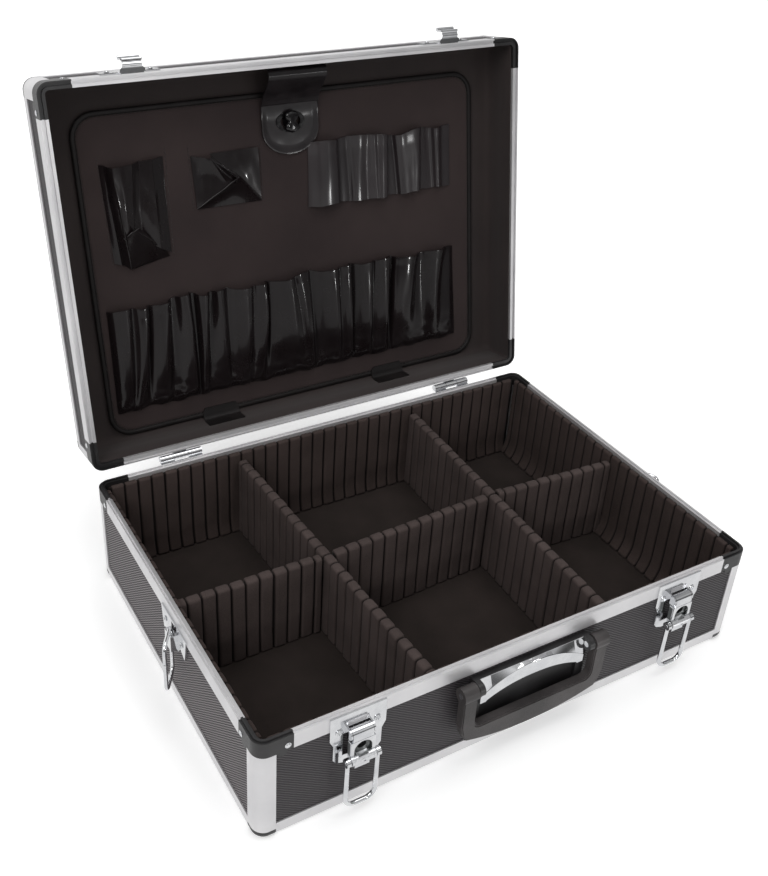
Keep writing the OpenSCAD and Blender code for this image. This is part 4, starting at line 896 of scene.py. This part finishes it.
folded("envelope_pocket", "pocket_envelope", [
    # sheet sewn to the pallet, its upper edge standing off
    (((-78.5, -88.4, 1.0), (-33.0, -88.8, 2.2), (-32.8, -41.6, 0.6), (-60.0, -60.0, 1.0)), 1.6, 11.0, 0.4),
    # left side folded across, its free edge raised
    (((-96.6, -88.4, 0.6), (-80.0, -84.8, 5.0), (-67.5, -61.4, 9.0), (-94.6, -41.6, 1.0)), -1.0, 12.0, 0.5),
    (((-80.0, -84.8, 5.0), (-79.0, -86.0, 4.2), (-56.6, -66.5, 10.6), (-57.8, -65.5, 10.2)), 0.0, 12.5, 0.1),
    (((-80.0, -84.8, 5.0), (-57.8, -65.5, 10.2), (-58.8, -64.5, 5.0), (-67.5, -61.4, 9.0)), -2.0, 12.9, 0.1),
    # bottom folded up to the same point
    (((-95.2, -41.8, 1.2), (-57.8, -66.2, 10.6), (-56.4, -66.0, 10.4), (-32.9, -41.0, 0.7)), -2.2, 13.0, 0.3),
    (((-56.4, -66.0, 10.4), (-55.0, -67.0, 8.2), (-33.4, -44.4, 1.2), (-32.9, -41.0, 0.7)), 0.0, 13.5, 0.1),
], [((-80.6, -85.4, 4.8), (-56.4, -66.6, 11.0), 1.0), ((-56.6, -66.6, 11.0), (-95.2, -42.0, 1.6), 0.9)])
SEAMS = ((-178.2, -97, -175.8, -2), (-118.6, -98, -120.4, -3), (-98.0, -97, -98.0, -40),
         (-30.6, -92, -30.8, -39))
for n, (xa, ya, xb, yb) in enumerate(SEAMS):
    stitches(f"pocket_stitches_{n}", [(xa, ya, 0.3), (xb, yb, 0.3)])


# ---------------- strap with its eyelet, and the two tabs
STRAP = [(-158.0, 16.0), (-156.5, 21.5), (-154.0, 24.0), (-150.5, 24.6), (-147.0, 23.4), (-143.0, 20.0),
         (-138.5, 15.8), (-133.5, 11.0), (-128.5, 6.8), (-123.5, 4.2), (-118.0, 2.9), (-112.0, 2.3),
         (-95.0, 2.1), (-79.0, 1.5)]


def strap_h(y):
    for (a, u), (b, v) in zip(STRAP, STRAP[1:]):
        if y <= b:
            return lerp(u, v, max(0.0, (y - a) / (b - a)))
    return STRAP[-1][1]


def strap():
    """From the lid's wall round its roll to the rounded end, a fan of rings round the eyelet's hole, mm."""
    half, join, arc_y, arc_b = 28.0, -124.0, -101.5, 22.5
    hole_x, hole_y, wall_y = 10.9, 7.3, -158
    spread = (0, 0.18, 0.4, 0.62, 0.8, 0.91, 0.97, 1.0)
    outline = [(lerp(-half, half, k / 14), join) for k in range(14)]
    outline += [(half, lerp(join, arc_y, k / 6)) for k in range(6)]
    for k in range(30):
        g = math.pi * k / 30
        outline.append((half * math.cos(g), arc_y + arc_b * math.sin(g)))
    outline += [(-half, lerp(arc_y, join, k / 6)) for k in range(6)]
    n = len(outline)
    verts, faces = [], []
    for t in spread:
        for x, y in outline:
            g = math.atan2(y - BUTTON_Y_MM, x)
            px = lerp(hole_x * math.cos(g), x, t)
            py = lerp(BUTTON_Y_MM + hole_y * math.sin(g), y, t)
            rim = 0.55 * smooth((t - 0.8) / 0.12) * smooth((py - join) / 10)
            verts.append(lid_pt(px, py, strap_h(py) + rim + 0.25 * wave(px * 0.08, py * 0.08, 4.4)))
    for i in range(len(spread) - 1):
        for j in range(n):
            a, b = i * n + j, i * n + (j + 1) % n
            faces.append((a, b, b + n, a + n))
    start = len(verts)
    ys = [p[0] for p in STRAP if p[0] < join] + [join]
    fine = [lerp(a, b, k / 3) for a, b in zip(ys, ys[1:]) for k in range(3)] + [join]
    for y in fine:
        for k in range(15):
            x = lerp(-half, half, k / 14)
            h = strap_h(y) + 0.25 * wave(x * 0.08, y * 0.08, 4.4) * smooth((y - wall_y) / 6)
            verts.append(lid_pt(x, y, h))
    faces += grid_faces(len(fine), 15, start)
    verts, faces = thicken(verts, faces, 1.3 * MM)
    o = mesh_object("pallet_strap_vinyl", verts, faces, M_STRAP, "lid", "pallet_strap",
                    sharp=60)


strap()


def turn_button():
    """Knob standing across the oval eyelet: two domed lobes with a waist between them."""
    rings, n = [], 48
    for grow, h in ((-2.4, 5.4), (-0.4, 5.5), (0.0, 6.0), (0.0, 6.9), (-0.35, 7.7), (-1.2, 8.3), (-2.4, 8.6)):
        ring = []
        for j in range(n):
            g = 2 * math.pi * j / n
            up = abs(math.sin(g))
            r = 3.7 + 6.0 * up ** 1.5 + grow
            dome = 0.5 * max(0.0, h - 7) * (up - 0.5)
            ring.append(lid_pt(r * math.cos(g) * (1 + 0.35 * up), BUTTON_Y_MM + r * math.sin(g), h + dome))
        rings.append(ring)
    v, f = loft(rings)
    mesh_object("turn_button_knob", v, f, M_BUTTON, "turn_button", "turn_button",
                sharp=70)


turn_button()


def tabs():
    """Two cloth tabs from under the pallet's lower edge up the lid's wall: (y, h) along each, mm."""
    path = [(146.0, 0.9), (150.0, 1.1), (154.0, 1.7), (156.2, 2.9), (157.3, 5.4), (157.5, 10), (157.5, 16.4)]
    tab_x = 91.5
    verts, faces = [], []
    for s in (-1, 1):
        grid = []
        for n, (y, h) in enumerate(path):
            w = 18.0 if n else 15.5
            grid.append([lid_pt(s * tab_x + lerp(-w, w, k / 8), y, h + 0.15 * wave(k * 0.7, n * 0.9, s))
                         for k in range(9)])
        add_shell(verts, faces, grid, 1.1 * MM)
    o = mesh_object("pallet_hinge_tabs", verts, faces, M_BINDING, "lid", "pallet_tabs",
                    sharp=60)


tabs()


# ---------------- strikes and the bright arch over the handle
def strike_curls():
    """Front of each strike's hook: a flat foot, a bead across it and the rolled top edge."""
    side = [(1.45, 1.0), (1.4, 3.4), (1.45, 5.0), (1.2, 5.8), (0.75, 6.6), (0.6, 7.3), (0.75, 7.8),
            (1.2, 8.3), (1.45, 8.7), (1.45, 9.4), (1.2, 10.0), (0.7, 10.6), (0.55, 11.1), (0.8, 11.6),
            (1.3, 11.9), (1.9, 12.0)]
    wide, narrow = 10.4, 8.2
    verts, faces = [], []
    for s in (-1, 1):
        grid = []
        for y, out in side:
            half = lerp(wide, narrow, smooth((out - 3.6) / 1.8))
            grid.append([LID @ Vector(((s * LATCH_X_MM + half * k) * MM, -HD - out * MM, TRAY_H + y * MM))
                         for k in (-1, -0.94, -0.5, 0, 0.5, 0.94, 1)])
        add_shell(verts, faces, grid, 0.35 * MM)
    mesh_object("strike_curls", verts, faces, M_CHROME, "lid", sharp=50)


strike_curls()


def handle_arch():
    """A shelf that slopes out and down from its back edge to the rim of a bridge standing on two feet, mm."""
    half, back, front, handle_z = 48.8, 4.05, 4.05 + 3.6, 75.0
    foot_in = 0.885
    rings = []
    for k in range(73):
        u = -1 + 2 * k / 72
        x = half * math.copysign(1 - (1 - abs(u)) ** 1.25, u)
        q = abs(x) / half
        outer = 4.4 - 15.2 * q ** 2.1
        inner = -18.0 if q > foot_in else -8.4 - 8.6 * (q / foot_in) ** 2.3
        lip = min(0.35, (5.0 - outer) / 4)
        prof = [(5.0, back), (5.0 - lip, back + 0.25 + lip * 0.3), (outer + 0.45, front - 0.35),
                (outer, front - 0.05), (outer - 0.5, front), ((outer + inner) / 2, front),
                (inner + 0.5, front), (inner + 0.05, front - 0.25), (inner, front - 1.2), (inner, back)]
        rings.append([Vector((x * MM, -HD - z * MM, (handle_z + y) * MM)) for y, z in prof])
    v, f = loft(rings)
    mesh_object("handle_arch_bridge", v, f, M_CHROME, "tray", "handle_arch", sharp=28)


handle_arch()

# ---------------- camera, solved from the case's straight edges
YAW, TILT, ROLL = math.radians(32.01), math.radians(-31.34), math.radians(3.47)
EYE = (-0.4347, -0.6180, 0.6738)
FOCAL_PX, LONG_SIDE_PX, SENSOR = 1100.7, 876, 36
ahead = Vector((math.sin(YAW) * math.cos(TILT), math.cos(YAW) * math.cos(TILT), math.sin(TILT)))
right = ahead.cross(UP).normalized()
over = right.cross(ahead)
cam_x = right * math.cos(ROLL) + over * math.sin(ROLL)
cam_y = -right * math.sin(ROLL) + over * math.cos(ROLL)
cam_data = bpy.data.cameras.new("camera")
cam_data.sensor_width = SENSOR
cam_data.sensor_fit = "AUTO"
cam_data.lens = FOCAL_PX * SENSOR / LONG_SIDE_PX
cam_data.shift_x = 0.0095
cam_data.shift_y = -0.0475
cam_data.clip_start = 0.01
cam_data.clip_end = 50
cam = place("camera", cam_data)
cam.matrix_world = Matrix((*((cam_x[i], cam_y[i], -ahead[i], EYE[i]) for i in range(3)), (0, 0, 0, 1)))
bpy.context.scene.camera = cam


# ---------------- floor, surroundings and light
def make_floor():
    """White floor. Its glow grows away from the object, where less light falls; shiny parts see it bright in
    front and darker away to the right."""
    m = Mat("floor_white", (0.86, 0.86, 0.86), rough=0.6, spec=0.2)
    rays = m.node("ShaderNodeLightPath").outputs
    x, y, _ = m.xyz(m.co)
    away = m.math("SQRT", m.add(m.mul(x, x), m.mul(y, y)))
    seen = m.math("MAXIMUM", rays["Is Camera Ray"], rays["Is Glossy Ray"])

    def glow(strength):
        n = m.node("ShaderNodeEmission")
        n.inputs["Color"].default_value = (1, 1, 1, 1)
        m.wire(strength, n.inputs["Strength"])
        return n.outputs[0]

    def joined(kind, *sources):
        n = m.node(kind)
        for k, source in enumerate(sources):
            m.wire(source, n.inputs[k])
        return n.outputs[0]

    lit = joined("ShaderNodeAddShader", m.b.outputs[0], glow(m.mul(seen, m.ramp(away, 0.24, 0.5, 0.3, 0.7))))
    shine = glow(m.ramp(x, 0.35, 0.85, 0.86, 0.26))
    surface = joined("ShaderNodeMixShader", rays["Is Glossy Ray"], lit, shine)
    m.wire(surface, m.t.nodes["Material Output"].inputs["Surface"])
    return m.m


FLOOR_HALF = 6
floor_mesh = bpy.data.meshes.new("floor")
floor_mesh.from_pydata([(x * FLOOR_HALF, y * FLOOR_HALF, 0) for x, y in ((-1, -1), (1, -1), (1, 1), (-1, 1))],
                       [], [(0, 1, 2, 3)])
floor_mesh.materials.append(make_floor())
floor = place("floor", floor_mesh)


def make_world():
    """White for the camera; softer for the light it gives; darker low on the camera's side in reflections."""
    world = bpy.data.worlds.new("studio")
    bpy.context.scene.world = world
    world.use_nodes = True
    w = Nodes(world.node_tree)
    rays = w.node("ShaderNodeLightPath").outputs
    x, y, z = w.xyz(w.node("ShaderNodeTexCoord").outputs["Generated"])
    soft = "SMOOTHSTEP"
    clear = w.math("MAXIMUM", w.ramp(z, 0.1, 0.75, ease=soft), w.ramp(y, -0.55, 0.25, ease=soft))
    shade = w.ramp(clear, 0, 1, 0.12)
    for axis, lo, hi, least in ((z, 0.5, 0.74, 0.5), (x, 0.35, 0.72, 0.55)):
        shade = w.mul(shade, w.ramp(axis, lo, hi, 1.0, least, soft))
    light = w.choose(rays["Is Glossy Ray"], 0.5, shade)
    background = world.node_tree.nodes["Background"]
    background.inputs["Color"].default_value = (1, 1, 1, 1)
    w.wire(w.choose(rays["Is Camera Ray"], light, 1.0), background.inputs["Strength"])


make_world()


def area_light(name, loc, target, size, power):
    d = bpy.data.lights.new(name, "AREA")
    d.shape = "RECTANGLE"
    d.size = d.size_y = size
    d.energy = power
    o = place(name, d)
    o.location = loc
    o.rotation_euler = (Vector(target) - Vector(loc)).to_track_quat("-Z", "Y").to_euler()
    return o


area_light("key_softbox", (-1.5, -0.9, 1.7), (0, 0.05, 0.1), 1.1, 17)
area_light("top_softbox", (0.25, -0.1, 2.0), (0.0, 0.0, 0.1), 1.2, 11)
area_light("glint", (0.1, -1.9, 0.8), (0.0, 0.15, 0.3), 0.08, 2.8)
# only shiny surfaces see this one
area_light("spark", (1.0, -1.8, 0.07), (0.0, 0.15, 0.2), 0.07, 3.2).visible_diffuse = False

bpy.context.scene.view_settings.view_transform = "Standard"
